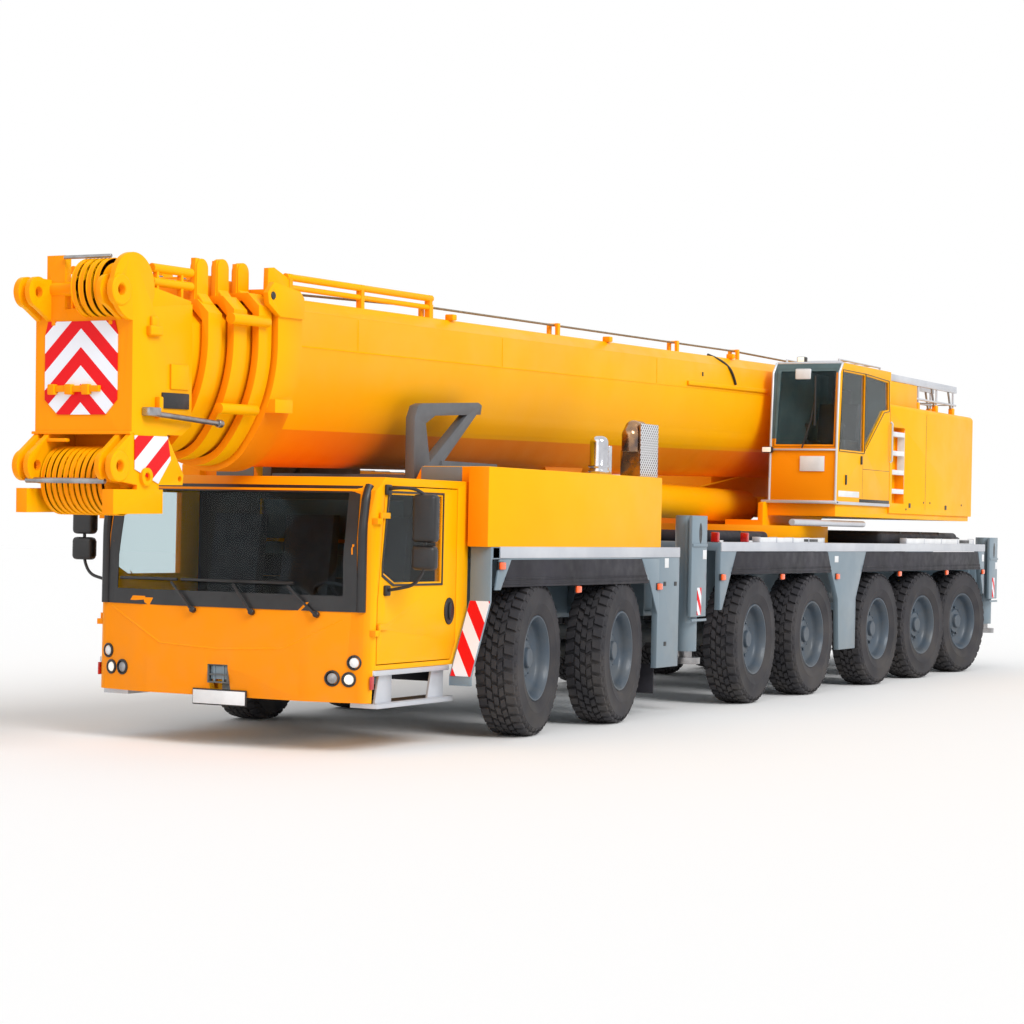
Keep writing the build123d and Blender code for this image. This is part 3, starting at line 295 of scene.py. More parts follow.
class Look(Enum):
    """Every finish on the crane."""

    # Painted shade: the yellow paint's last colour is a more orange tone for faces that point forward.
    YELLOW = Finish("yellow_paint", tone(255, 181, 6), tone(253, 175, 5), 0.4, 0.07, coat=0.02, scale=0.7,
                    soot=0.1,
                    sheen=0.07, ahead=tone(250, 146, 10))
    # Painted shade: a deeper, more orange copy of the yellow paint for the boom's lower faces, more orange
    # again on faces that point forward.
    YELLOW_DEEP = Finish("yellow_paint_shaded", tone(248, 140, 10), tone(242, 130, 10), 0.42, 0.06,
                         scale=0.9, sheen=0.16,
                         ahead=tone(242, 124, 14))
    GREY = Finish("chassis_paint", tone(118, 136, 148), tone(110, 128, 141), 0.42, 0.07, coat=0.2,
                  scale=0.9, soot=0.25)
    # Grey rim paint, darkened as painted shade for the shadow inside the deep wheel disc.
    RIM = Finish("rim_paint_and_shade", tone(66, 80, 94), tone(58, 71, 84), 0.42, 0.08, coat=0.1, scale=2.5, soot=0.2,
                 sheen=0.35)
    GREY_DARK = Finish("underframe_paint", tone(72, 80, 86), tone(62, 69, 75), 0.55, 0.1, scale=1.2,
                       soot=0.35)
    REST_GREY = Finish("boom_rest_paint", tone(92, 94, 98), tone(82, 84, 88), 0.48, 0.08, scale=2.0)
    RUBBER = Finish("tyre_rubber", tone(44, 44, 49), tone(54, 53, 58), 0.78, 0.1, scale=2.5, grain=140,
                    bump=0.3,
                    soot=0.12, sheen=0.3)
    FLAP = Finish("mud_flap_rubber", tone(38, 37, 42), tone(50, 49, 56), 0.6, 0.12, scale=2.2, grain=90,
                  bump=0.2,
                  sheen=0.25)
    TRIM = Finish("black_trim", tone(26, 26, 28), tone(34, 34, 36), 0.42, 0.1, scale=6, grain=220,
                  bump=0.12)
    DECK = Finish("deck_plate", tone(120, 128, 134), tone(98, 106, 112), 0.6, 0.1, scale=1.6, grain=30,
                  bump=0.3)
    RAIL = Finish("silver_rail", tone(205, 208, 214), tone(188, 192, 200), 0.38, 0.06, metallic=0.35,
                  scale=1.5)
    CHROME = Finish("chrome", tone(215, 216, 220), tone(190, 190, 196), 0.14, 0.05, metallic=1.0, scale=8,
                    bump=0.02)
    STEEL = Finish("bare_steel", tone(168, 168, 170), tone(140, 138, 138), 0.35, 0.1, metallic=0.9, scale=9)
    BRONZE = Finish("heat_tinted_steel", tone(176, 138, 104), tone(110, 96, 92), 0.22, 0.1, metallic=0.95,
                    scale=9)
    ENGINE = Finish("engine_grey", tone(86, 88, 90), tone(70, 72, 74), 0.6, 0.1, scale=3)
    LINING = Finish("cab_lining", tone(84, 104, 106), tone(72, 92, 95), 0.7, 0.08, scale=3, grain=180,
                    bump=0.2)
    SEAT = Finish("seat_cloth", tone(52, 54, 60), tone(40, 42, 48), 0.9, 0.05, scale=12, grain=500,
                  bump=0.4)
    WHITE = Finish("white_plate", tone(230, 231, 233), tone(216, 218, 220), 0.35, 0.06, scale=6)
    AMBER = Finish("amber_lamp", tone(250, 96, 22), tone(236, 84, 18), 0.2, 0.05, coat=0.6, scale=20,
                   glow=0.15)
    RED = Finish("red_lamp", tone(196, 22, 20), tone(170, 16, 16), 0.2, 0.05, coat=0.6, scale=20)
    LAMP = Finish("lamp_glass", tone(246, 240, 226), tone(232, 226, 214), 0.12, 0.04, coat=0.8, scale=30,
                  glow=0.35)
    ROPE = Finish("hoist_rope", tone(158, 140, 116), tone(122, 108, 90), 0.6, 0.1, metallic=0.4, scale=40,
                  grain=260, bump=0.6)
    CHEVRON = Striped("chevron_stripes", "Y", 0.262, 0.97, -0.0175, 2.84, True)
    STRIPES = Striped("diagonal_stripes", "X", 0.3, 0.81)
    STRIPES_SMALL = Striped("outrigger_stripes", "X", 0.2, -1.6, 0.0, 0.05)
    FENDER = Striped("mudguard_stripes", "Y", 0.3, 1.3, 0.0, 0.08)
    MESH = Perforated("pierced_shield", 0.045)
    GLASS = Glass("tinted_glass", tone(222, 232, 234))


class Palette:
    """Makes each finish's material once, when it is first asked for."""

    made: dict[Look, Material] = {}

    @classmethod
    def get(cls, look: Look) -> Material:
        """The material of a finish."""
        if look not in cls.made:
            cls.made[look] = look.value.build()
        return cls.made[look]


# ---------------------------------------------------------------- modelling
SEAM_GAP = 0.00002
MERGE_GAP = 0.00005
FLAT_DEGREES = 0.5


def oval(across: float, up: float, wide: float, high: float, step: int = 15) -> list[Flat]:
    """Corners of an oval round a middle, one every so many degrees."""
    return [(across + wide * math.cos(math.radians(t)), up + high * math.sin(math.radians(t)))
            for t in range(0, 360, step)]


class Axis(Enum):
    """A direction of the machine."""

    X = (1, 0, 0)
    Y = (0, 1, 0)
    Z = (0, 0, 1)


class Bench:
    """Modelling steps on one piece at a time."""

    @staticmethod
    def pick(piece: Piece) -> Piece:
        """Selects one piece alone and makes it active."""
        for other in bpy.context.selected_objects:
            other.select_set(False)
        piece.select_set(True)
        bpy.context.view_layer.objects.active = piece
        return piece

    @staticmethod
    def clear() -> None:
        """Deselects everything."""
        for other in bpy.context.selected_objects:
            other.select_set(False)

    @staticmethod
    def settle(piece: Piece) -> Piece:
        """Puts the piece's place, turn and size into its mesh."""
        piece.data.transform(piece.matrix_basis)
        piece.matrix_basis = Matrix.Identity(4)
        return piece

    @staticmethod
    def bevel(piece: Piece, width: float, segments: int = 2, angle: float = 35) -> Piece:
        """Rounds the piece's sharp edges and smooths the rest."""
        Bench.pick(piece)
        if width > 0:
            modifier = piece.modifiers.new("round", "BEVEL")
            modifier.width = width
            modifier.segments = segments
            modifier.limit_method = "ANGLE"
            modifier.angle_limit = math.radians(angle)
            modifier.miter_outer = "MITER_ARC"
            bpy.ops.object.modifier_apply(modifier=modifier.name)
        bpy.ops.object.shade_smooth_by_angle(angle=math.radians(angle))
        return piece

    @staticmethod
    def dress(piece: Piece, look: Look) -> Piece:
        """Gives the whole piece one finish."""
        piece.data.materials.clear()
        piece.data.materials.append(Palette.get(look))
        return piece

    @staticmethod
    def placed(name: str, data: bpy.types.ID) -> Piece:
        """A new object in the scene that holds a mesh or a curve."""
        piece = bpy.data.objects.new(name, data)
        bpy.context.scene.collection.objects.link(piece)
        return piece

    @staticmethod
    def shape(points: Sequence[Point], faces: Sequence[Sequence[int]],
              edges: Sequence[Sequence[int]] = ()) -> Piece:
        """A loose mesh to be worked on in edit mode."""
        mesh = bpy.data.meshes.new("work")
        mesh.from_pydata([tuple(p) for p in points], list(edges), list(faces))
        return Bench.pick(Bench.placed("work", mesh))

    @staticmethod
    def block(low: Point, high: Point, look: Look, bevel: float = 0.004, segments: int = 2) -> Piece:
        """A bar or box between two corners, with rounded edges."""
        Bench.clear()
        middle = (Vector(low) + Vector(high)) / 2
        bpy.ops.mesh.primitive_cube_add(size=1, location=middle)
        piece = bpy.context.object
        piece.scale = [abs(b - a) for a, b in zip(low, high)]
        Bench.settle(piece)
        return Bench.dress(Bench.bevel(piece, bevel, segments), look)

    @staticmethod
    def blocks(corners: Iterable[tuple[Point, Point]], look: Look, *edge: float) -> list[Piece]:
        """Blocks of one look and one edge, each between two corners."""
        return [Bench.block(low, high, look, *edge) for low, high in corners]

    @staticmethod
    def plate(outline: Sequence[Flat], axis: Axis, start: float, end: float, look: Look,
              bevel: float = 0.004, segments: int = 2) -> Piece:
        """A plate cut to an outline.

        Args:
            outline: Corners in the two directions that are not the axis, in X, Y, Z order.
            axis: The direction of its thickness.
            start: Where it starts along the axis.
            end: Where it ends along the axis.
            look: Its finish.
            bevel: Edge radius.
            segments: Steps of the rounded edge.

        Returns:
            The plate.
        """
        def lift(point: Flat, height: float) -> Point:
            first, second = point
            return {Axis.X: (height, first, second), Axis.Y: (first, height, second),
                    Axis.Z: (first, second, height)}[axis]
        piece = Bench.shape([lift(p, start) for p in outline], [list(range(len(outline)))])
        bpy.ops.object.mode_set(mode="EDIT")
        bpy.ops.mesh.select_all(action="SELECT")
        move = Vector(axis.value) * (end - start)
        bpy.ops.mesh.extrude_region_move(TRANSFORM_OT_translate={"value": tuple(move)})
        bpy.ops.mesh.select_all(action="SELECT")
        bpy.ops.mesh.normals_make_consistent(inside=False)
        bpy.ops.object.mode_set(mode="OBJECT")
        return Bench.dress(Bench.bevel(piece, bevel, segments), look)

    @staticmethod
    def spun(profile: Sequence[Flat], centre: Point, axis: Vector, look: Look, steps: int = 32,
             angle: float = 30) -> Piece:
        """A shape turned round an axis.

        Args:
            profile: (radius, distance along the axis) corners of its outline.
            centre: Where the axis is measured from.
            axis: The direction of the axis.
            look: Its finish.
            steps: Sides of the round.
            angle: Edges sharper than this stay sharp.

        Returns:
            The turned shape.
        """
        closed = [[i, (i + 1) % len(profile)] for i in range(len(profile))]
        if profile[0][0] < 1e-6 and profile[-1][0] < 1e-6:
            closed.pop()
        piece = Bench.shape([(r, 0, h) for r, h in profile], [], closed)
        bpy.ops.object.mode_set(mode="EDIT")
        bpy.ops.mesh.select_all(action="SELECT")
        bpy.ops.mesh.spin(steps=steps, angle=2 * math.pi, center=(0, 0, 0), axis=(0, 0, 1))
        bpy.ops.mesh.select_all(action="SELECT")
        bpy.ops.mesh.remove_doubles(threshold=SEAM_GAP)
        bpy.ops.mesh.normals_make_consistent(inside=False)
        bpy.ops.object.mode_set(mode="OBJECT")
        turn = UP.rotation_difference(Vector(axis).normalized()).to_matrix().to_4x4()
        piece.data.transform(Matrix.Translation(centre) @ turn)
        return Bench.dress(Bench.bevel(piece, 0, angle=angle), look)

    @staticmethod
    def bar(start: Point, end: Point, radius: float, look: Look, sides: int = 16,
            bevel: float = 0.0) -> Piece:
        """A round bar between two points, its ends chamfered."""
        a, b = Vector(start), Vector(end)
        length = (b - a).length
        chamfer = min(bevel or radius * 0.12, length * 0.2)
        profile = [(0, 0), (radius - chamfer, 0), (radius, chamfer), (radius, length - chamfer),
                   (radius - chamfer, length), (0, length)]
        return Bench.spun(profile, start, b - a, look, sides)

    @staticmethod
    def tube(points: Sequence[Point], radius: float, look: Look, bend: bool = True,
             sides: int = 4) -> Piece:
        """A pipe, hose or rope along a line of points."""
        curve = bpy.data.curves.new("run", "CURVE")
        curve.dimensions = "3D"
        curve.bevel_depth = radius
        curve.bevel_resolution = sides
        curve.use_fill_caps = True
        curve.resolution_u = 6
        spline = curve.splines.new("NURBS" if bend else "POLY")
        spline.points.add(len(points) - 1)
        for knot, point in zip(spline.points, points):
            knot.co = (*point, 1)
        if bend:
            spline.order_u = 3
            spline.use_endpoint_u = True
        holder = Bench.placed("run", curve)
        bpy.context.view_layer.update()
        mesh = bpy.data.meshes.new_from_object(holder.evaluated_get(bpy.context.evaluated_depsgraph_get()))
        bpy.data.objects.remove(holder)
        bpy.data.curves.remove(curve)
        return Bench.dress(Bench.bevel(Bench.pick(Bench.placed("run", mesh)), 0), look)

    @staticmethod
    def copies(piece: Piece, places: Iterable[Matrix]) -> Piece:
        """Repeats a piece at each place, all in its own mesh.

        Args:
            piece: What is repeated.
            places: One matrix for each copy.

        Returns:
            The joined copies.
        """
        made = bmesh.new()
        for place in places:
            mesh = piece.data.copy()
            mesh.transform(place)
            if place.to_3x3().determinant() < 0:
                mesh.flip_normals()
            made.from_mesh(mesh)
            bpy.data.meshes.remove(mesh)
        made.to_mesh(piece.data)
        made.free()
        return piece

    @staticmethod
    def mirrored(piece: Piece) -> Piece:
        """The piece and its mirror image on the other side of the machine."""
        return Bench.copies(piece, [Matrix.Identity(4), Matrix.Scale(-1, 4, (0, 1, 0))])

    @staticmethod
    def join(name: str, parts: Sequence[Piece]) -> Piece:
        """Joins parts into one named piece, each keeping its finish."""
        Bench.clear()
        for part in parts:
            part.select_set(True)
        bpy.context.view_layer.objects.active = parts[0]
        if len(parts) > 1:
            bpy.ops.object.join()
        piece = bpy.context.view_layer.objects.active
        piece.name = name
        piece.data.name = name
        return piece

    @staticmethod
    def ring(outer: Sequence[Flat], inner: Sequence[Flat], place: Callable[[Flat], Point], depth: float,
             look: Look,
             steps: int) -> Piece:
        """A frame between two outlines of as many corners, laid on a surface.

        Args:
            outer: Its outer corners.
            inner: Its inner corners.
            place: Gives a flat point's place on the surface.
            depth: Its thickness, half on each side of the surface.
            look: Its finish.
            steps: How many pieces each side is cut into, to follow a curve.

        Returns:
            The frame.
        """
        rows = []
        for outline in (outer, inner):
            for (a, b), (c, d) in zip(outline, [*outline[1:], outline[0]]):
                rows += [place((a + (c - a) * i / steps, b + (d - b) * i / steps)) for i in range(steps)]
        count = len(outer) * steps
        faces = [(i, (i + 1) % count, count + (i + 1) % count, count + i) for i in range(count)]
        piece = Bench.shape(rows, faces)
        modifier = piece.modifiers.new("thickness", "SOLIDIFY")
        modifier.thickness = depth
        modifier.offset = 0
        bpy.ops.object.modifier_apply(modifier=modifier.name)
        return Bench.dress(Bench.bevel(piece, 0.0), look)

    @staticmethod
    def zone(piece: Piece, look: Look, low: Point, high: Point,
             inside: Optional[Callable[[Vector], bool]] = None) -> Piece:
        """Gives the faces whose middle lies between two corners, and passes a test, another finish."""
        piece.data.materials.append(Palette.get(look))
        index = len(piece.data.materials) - 1
        for face in piece.data.polygons:
            if all(a <= c <= b for a, c, b in zip(low, face.center,
                                                  high)) and (inside is None or inside(face.center)):
                face.material_index = index
        return piece

    @staticmethod
    def cut(piece: Piece, low: Point, high: Point) -> Piece:
        """Takes away the faces whose middle lies between two corners."""
        made = bmesh.new()
        made.from_mesh(piece.data)
        gone = [f for f in made.faces if all(a <= c <= b for a, c,
                                             b in zip(low, f.calc_center_median(), high))]
        bmesh.ops.delete(made, geom=gone, context="FACES")
        made.to_mesh(piece.data)
        made.free()
        return piece

    @staticmethod
    def mount(piece: Piece, body: str, slot: str, *stands_for: str) -> Piece:
        """Makes a piece ride on a body and hides the CAD nodes it stands for."""
        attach(piece, body)
        if stands_for:
            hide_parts(*stands_for)
        LOG.info("%s: %d faces on %s", piece.name, len(piece.data.polygons), body)
        return piece

    @staticmethod
    def carried(node: str, name: str, look: Look, width: float = 0.005, angle: float = 32) -> Piece:
        """A copy of a CAD node, merged and with its edges rounded.

        Args:
            node: The CAD node.
            name: The new piece's name.
            look: Its finish.
            width: Edge radius.
            angle: Edges sharper than this are rounded.

        Returns:
            The new piece, not yet mounted.
        """
        piece = Bench.pick(Bench.placed(name, frame["nodes"][node].data.copy()))
        bpy.ops.object.mode_set(mode="EDIT")
        bpy.ops.mesh.select_all(action="SELECT")
        bpy.ops.mesh.customdata_custom_splitnormals_clear()
        bpy.ops.mesh.remove_doubles(threshold=MERGE_GAP)
        bpy.ops.mesh.dissolve_limited(angle_limit=math.radians(FLAT_DEGREES))
        bpy.ops.object.mode_set(mode="OBJECT")
        return Bench.dress(Bench.bevel(piece, width, 2, angle), look)


class Kit(list):
    """The parts of one piece in the order they are made, each call as on the bench."""

    def block(self, *sizes: object) -> None:
        """Adds a block."""
        self.append(Bench.block(*sizes))

    def blocks(self, corners: Iterable[tuple[Point, Point]], *sizes: object) -> None:
        """Adds blocks of one look."""
        self.extend(Bench.blocks(corners, *sizes))

    def plate(self, *sizes: object) -> None:
        """Adds a plate."""
        self.append(Bench.plate(*sizes))

    def spun(self, *sizes: object) -> None:
        """Adds a turned shape."""
        self.append(Bench.spun(*sizes))

    def bar(self, *sizes: object) -> None:
        """Adds a round bar."""
        self.append(Bench.bar(*sizes))

    def tube(self, *sizes: object) -> None:
        """Adds a pipe or rope."""
        self.append(Bench.tube(*sizes))

    def ring(self, *sizes: object) -> None:
        """Adds a frame."""
        self.append(Bench.ring(*sizes))


# ---------------------------------------------------------------- wheels
@dataclass
class Wheel:
    """A block-tread tyre on a deep steel rim, modelled once round the Z axis."""

    tread_radius: float = 0.655
    floor_radius: float = 0.632
    shoulder_half: float = 0.165
    lugs: int = 38
    nuts: int = 10
    parts: list[Piece] = field(default_factory=list)

    def carcass(self) -> Piece:
        """The tyre's casing with its ribbed side walls."""
        half = [(self.floor_radius, 0.0), (self.floor_radius, 0.09), (self.floor_radius - 0.008, 0.152),
                (0.606, 0.172), (0.59, 0.179), (0.586, 0.183), (0.578, 0.181), (0.53, 0.187), (0.47, 0.186),
                (0.462, 0.189), (0.454, 0.186), (0.41, 0.176), (0.385, 0.166), (0.376, 0.165),
                (0.366, 0.155),
                (0.345, 0.146)]
        profile = [(r, -y) for r, y in reversed(half[1:])] + half
        return Bench.spun(profile + [(0.33, 0.12), (0.33, -0.12)], (0, 0, 0), UP, Look.RUBBER, 64, 40)

    def lug(self, inner: float, outer: float, slant: float, length: float, low: float,
            high: float) -> Piece:
        """One tread block.

        Args:
            inner: Its edge near the tyre's middle.
            outer: Its edge near the shoulder.
            slant: How far its outer edge runs ahead of its inner edge.
            length: Its length round the tyre.
            low: Radius of its foot.
            high: Radius of its top at the inner edge.

        Returns:
            The block, at the top of the tyre.
        """
        Bench.clear()
        bpy.ops.mesh.primitive_cube_add(size=2)
        piece = Bench.settle(bpy.context.object)
        middle = (inner + outer) / 2
        for vertex in piece.data.vertices:
            far, ahead, top = vertex.co.x > 0, vertex.co.y, vertex.co.z > 0
            along = outer if far else inner
            radius = (high - (0.012 if far and outer > 0.12 else 0)) if top else low
            pull = 0.9 if top else 1.0
            side = middle + (along - middle) * pull
            round_by = ahead * length / 2 * pull + (slant if far else 0)
            vertex.co = (math.sqrt(radius ** 2 - round_by ** 2), round_by, side)
        return Bench.dress(Bench.bevel(piece, 0.0), Look.RUBBER)

    def tread(self) -> list[Piece]:
        """Two rows of shoulder lugs and three of centre blocks."""
        pitch = 2 * math.pi * self.tread_radius / self.lugs
        low = self.floor_radius - 0.006
        rows = [(0.082, self.shoulder_half, 0.02, pitch * 0.66, 0.0),
                (0.03, 0.074, -0.024, pitch * 0.74, 0.5)]
        made = []
        for sign in (1, -1):
            for inner, outer, slant, length, shift in rows:
                block = self.lug(inner, outer, slant, length, low, self.tread_radius)
                turns = [Matrix.Rotation(2 * math.pi * (i + shift + (0.25 if sign < 0 else 0)) / self.lugs,
                                         4, "Z")
                         for i in range(self.lugs)]
                if sign < 0:
                    turns = [turn @ Matrix.Scale(-1, 4, (0, 0, 1)) for turn in turns]
                made.append(Bench.copies(block, turns))
        middle = self.lug(-0.022, 0.022, 0.012, pitch * 0.72, low, self.tread_radius)
        turns = [Matrix.Rotation(2 * math.pi * (i + 0.12) / self.lugs, 4, "Z") for i in range(self.lugs)]
        made.append(Bench.copies(middle, turns))
        for sign in (1, -1):
            turns = [Matrix.Rotation(2 * math.pi * (i + 0.16) / self.lugs, 4, "Z") @
                     Matrix.Scale(sign, 4, (0, 0, 1)) for i in range(self.lugs)]
            row = self.lug(0.15, 0.181, 0.0, pitch * 0.3, 0.585, 0.622)
            made.append(Bench.copies(row, turns))
        return made

    def rim(self) -> list[Piece]:
        """Rim with its rolled lip, dished disc, hub and wheel nuts."""
        outline = [(0.345, 0.135), (0.358, 0.142), (0.362, 0.152), (0.356, 0.161), (0.346, 0.16),
                   (0.336, 0.148),
                   (0.322, 0.128), (0.312, 0.09), (0.306, 0.065), (0.298, 0.054), (0.26, 0.03),
                   (0.215, 0.016),
                   (0.205, 0.02), (0.2, 0.024), (0.15, 0.024), (0.15, 0.05), (0.142, 0.062), (0.09, 0.066),
                   (0.083, 0.094), (0.076, 0.1), (0, 0.1)]
        back = [(0, -0.004), (0.19, -0.006), (0.3, 0.006), (0.312, -0.12), (0.345, -0.14)]
        # The disc and the nuts take the rim finish with its painted shade.
        disc = Bench.spun(list(reversed(outline)) + list(reversed(back)), (0, 0, 0), UP, Look.RIM, 56, 26)
        nut = Bench.bar((0.178, 0, 0.02), (0.178, 0, 0.052), 0.016, Look.RIM, 6, 0.003)
        turns = [Matrix.Rotation(2 * math.pi * i / self.nuts, 4, "Z") for i in range(self.nuts)]
        return [disc, Bench.copies(nut, turns)]

    def build(self) -> Piece:
        """The whole wheel, its outer face towards +Z."""
        return Bench.join("wheel_pattern", [self.carcass(), *self.tread(), *self.rim()])


@dataclass
class RunningGear:
    """All fourteen wheels, each on its own body."""

    pattern: Optional[Piece] = None

    def build(self) -> None:
        """Copies the wheel to every hub."""
        self.pattern = Wheel().build()
        for joint in frame["joints"]:
            if not joint["name"].startswith("spin_"):
                continue
            body = joint["child"]
            side = 1 if body.endswith("left") else -1
            axis = Vector(joint["axis"]) * (1 if joint["axis"][1] * side > 0 else -1)
            low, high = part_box(body)
            turn = UP.rotation_difference(axis).to_matrix().to_4x4()
            piece = bpy.data.objects.new(f"tyre_and_rim_{body[6:]}", self.pattern.data.copy())
            piece.data.transform(Matrix.Translation((low + high) / 2) @ turn)
            bpy.context.scene.collection.objects.link(piece)
            Bench.mount(piece, body, "tyre_rubber", body)
        bpy.data.objects.remove(self.pattern)


# ---------------------------------------------------------------- carried-over shapes
@dataclass
class Carried:
    """CAD shapes that are kept, some as they are and some with rounded edges."""

    rounded: tuple = (
        ("cab_shell", "chassis", "cab_body", Look.YELLOW, "yellow_paint", 0.012),
        ("cab_door_left", "door_left", "cab_door_panel_left", Look.YELLOW, "yellow_paint", 0.006),
        ("cab_door_right", "door_right", "cab_door_panel_right", Look.YELLOW, "yellow_paint", 0.006),
        ("engine_cover", "chassis", "engine_cover_panels", Look.YELLOW, "yellow_paint", 0.012),
        ("boom_rest", "chassis", "boom_rest_frame", Look.REST_GREY, "chassis_grey", 0.006),
        ("chassis_frame", "chassis", "chassis_box", Look.GREY, "chassis_grey", 0.006),
        ("deck_and_skirts", "chassis", "deck_and_aprons", Look.GREY, "chassis_grey", 0.005),
        ("rear_housing", "superstructure", "rear_housing_panels", Look.YELLOW, "yellow_paint", 0.012),
        ("turntable", "superstructure", "turntable_frame", Look.YELLOW, "yellow_paint", 0.006),
        ("crane_cab_shell", "superstructure", "crane_cab_body", Look.YELLOW, "yellow_paint", 0.01),
        ("boom_base", "boom_base", "boom_base_section", Look.YELLOW, "yellow_paint", 0.006),
        ("telescope_1", "telescope_1", "telescope_section_1", Look.YELLOW, "yellow_paint", 0.006),
        ("telescope_2", "telescope_2", "telescope_section_2", Look.YELLOW, "yellow_paint", 0.006),
        ("telescope_3", "telescope_3", "telescope_section_3", Look.YELLOW, "yellow_paint", 0.006),
        ("boom_head", "boom_head", "boom_head_section", Look.YELLOW, "yellow_paint", 0.006),
        ("luff_barrel", "luff_barrel", "luff_cylinder_barrel", Look.YELLOW, "cylinder_yellow", 0.006),
        ("engine_and_exhaust", "chassis", "engine_and_pipes", Look.ENGINE, "engine_grey", 0.004),
        ("winch_drum", "winch_drum", "winch_drum_and_rope", Look.ROPE, "engine_grey", 0.004),
    )
    # faces of a carried node that have another finish: node, finish, low corner, high corner
    zones: tuple = (
        ("cab_shell", Look.RAIL, (5.9, -1.3, 0.34), (7.2, 1.3, 0.6)),
        ("deck_and_skirts", Look.DECK, (-9, -1.47, 1.589), (5.7, 1.47, 1.65)),
        ("deck_and_skirts", Look.FLAP, (2.6, -1.501, 1.28), (5.65, -1.48, 1.4)),
        ("deck_and_skirts", Look.FLAP, (2.6, 1.48, 1.28), (5.65, 1.501, 1.4)),
        ("rear_housing", Look.WHITE, (-4.74, 1.405, 2.2), (-4.29, 1.496, 2.98)),
        ("engine_and_exhaust", Look.CHROME, (3.2, 1.2, 2.25), (3.6, 1.5, 2.7)),
        ("engine_and_exhaust", Look.MESH, (2.3, 1.2, 2.25), (2.95, 1.5, 2.9)),
        ("engine_and_exhaust", Look.BRONZE, (2.5, 1.262, 2.47), (2.9, 1.438, 2.9)),
        # Painted shade: the base section's lower faces take the shaded copy of the yellow paint.
        ("boom_base", Look.YELLOW_DEEP, (-6.5, -0.6, 1.5), (8, 0.6, 2.62)),
    )
    plain: tuple = (
        ("cab_glass", Look.GLASS), ("door_glass_left", Look.GLASS), ("door_glass_right", Look.GLASS),
        ("crane_cab_glass", Look.GLASS), ("cab_interior", Look.SEAT), ("crane_cab_interior", Look.SEAT),
        ("axle_beams", Look.GREY_DARK), ("luff_rod", Look.CHROME),
    )

    def build(self) -> None:
        """Rounds or re-dresses each CAD node."""
        for node, body, name, look, slot, width in self.rounded:
            piece = Bench.carried(node, name, look, width)
            for part, finish, low, high in self.zones:
                if part == node:
                    Bench.zone(piece, finish, low, high)
            if node == "cab_shell":
                # Painted shade: the shell's inner faces take the black trim, dark interior trim made black
                # for the shade inside the cab.
                Bench.zone(piece, Look.TRIM, (5.82, -1.235, 0.66), (7.4, 1.235, 2.075),
                           lambda p: p.x < cab_front(p.y, p.z) - 0.03)
            if node == "crane_cab_shell":
                Bench.zone(piece, Look.LINING, (-4.16, 0.725, 2.13), (-2.385, 1.475, 3.635))
            if node.startswith("cab_door"):
                Bench.cut(piece, (7.0, -1.8, 1.2), (7.15, -1.309, 2.1))
                Bench.cut(piece, (7.0, 1.309, 1.2), (7.15, 1.8, 2.1))
            Bench.mount(piece, body, slot, node)
        for node, look in self.plain:
            Bench.dress(frame["nodes"][node], look)
        for node, piece in frame["nodes"].items():
            if node.startswith("knuckle"):
                Bench.dress(piece, Look.GREY_DARK)
            if node.startswith("beam"):
                name = node.replace("beam", "outrigger")
                Bench.mount(Bench.carried(node, name, Look.GREY, 0.005), node, "chassis_grey", node)
            if node.startswith("jack"):
                Bench.dress(piece, Look.STEEL)


# ---------------------------------------------------------------- driver's cab
def cab_front(side: float, height: float) -> float:
    """How far forward the cab's nose reaches at a place across it and up it."""
    profile = ((0.395, 7.4), (0.62, 7.455), (0.76, 7.455), (1.11, 7.395), (2.01, 7.24), (2.115, 7.125))
    for (z0, x0), (z1, x1) in zip(profile, profile[1:]):
        if height <= z1:
            upright = x0 + (x1 - x0) * (height - z0) / (z1 - z0)
            break
    away = abs(side)
    plan = 7.455 - 0.15 * (away / 1.15) ** 2 if away < 1.15 else 7.305 - 0.13 * ((away - 1.15) / 0.13) ** 2
    return min(upright, plan)


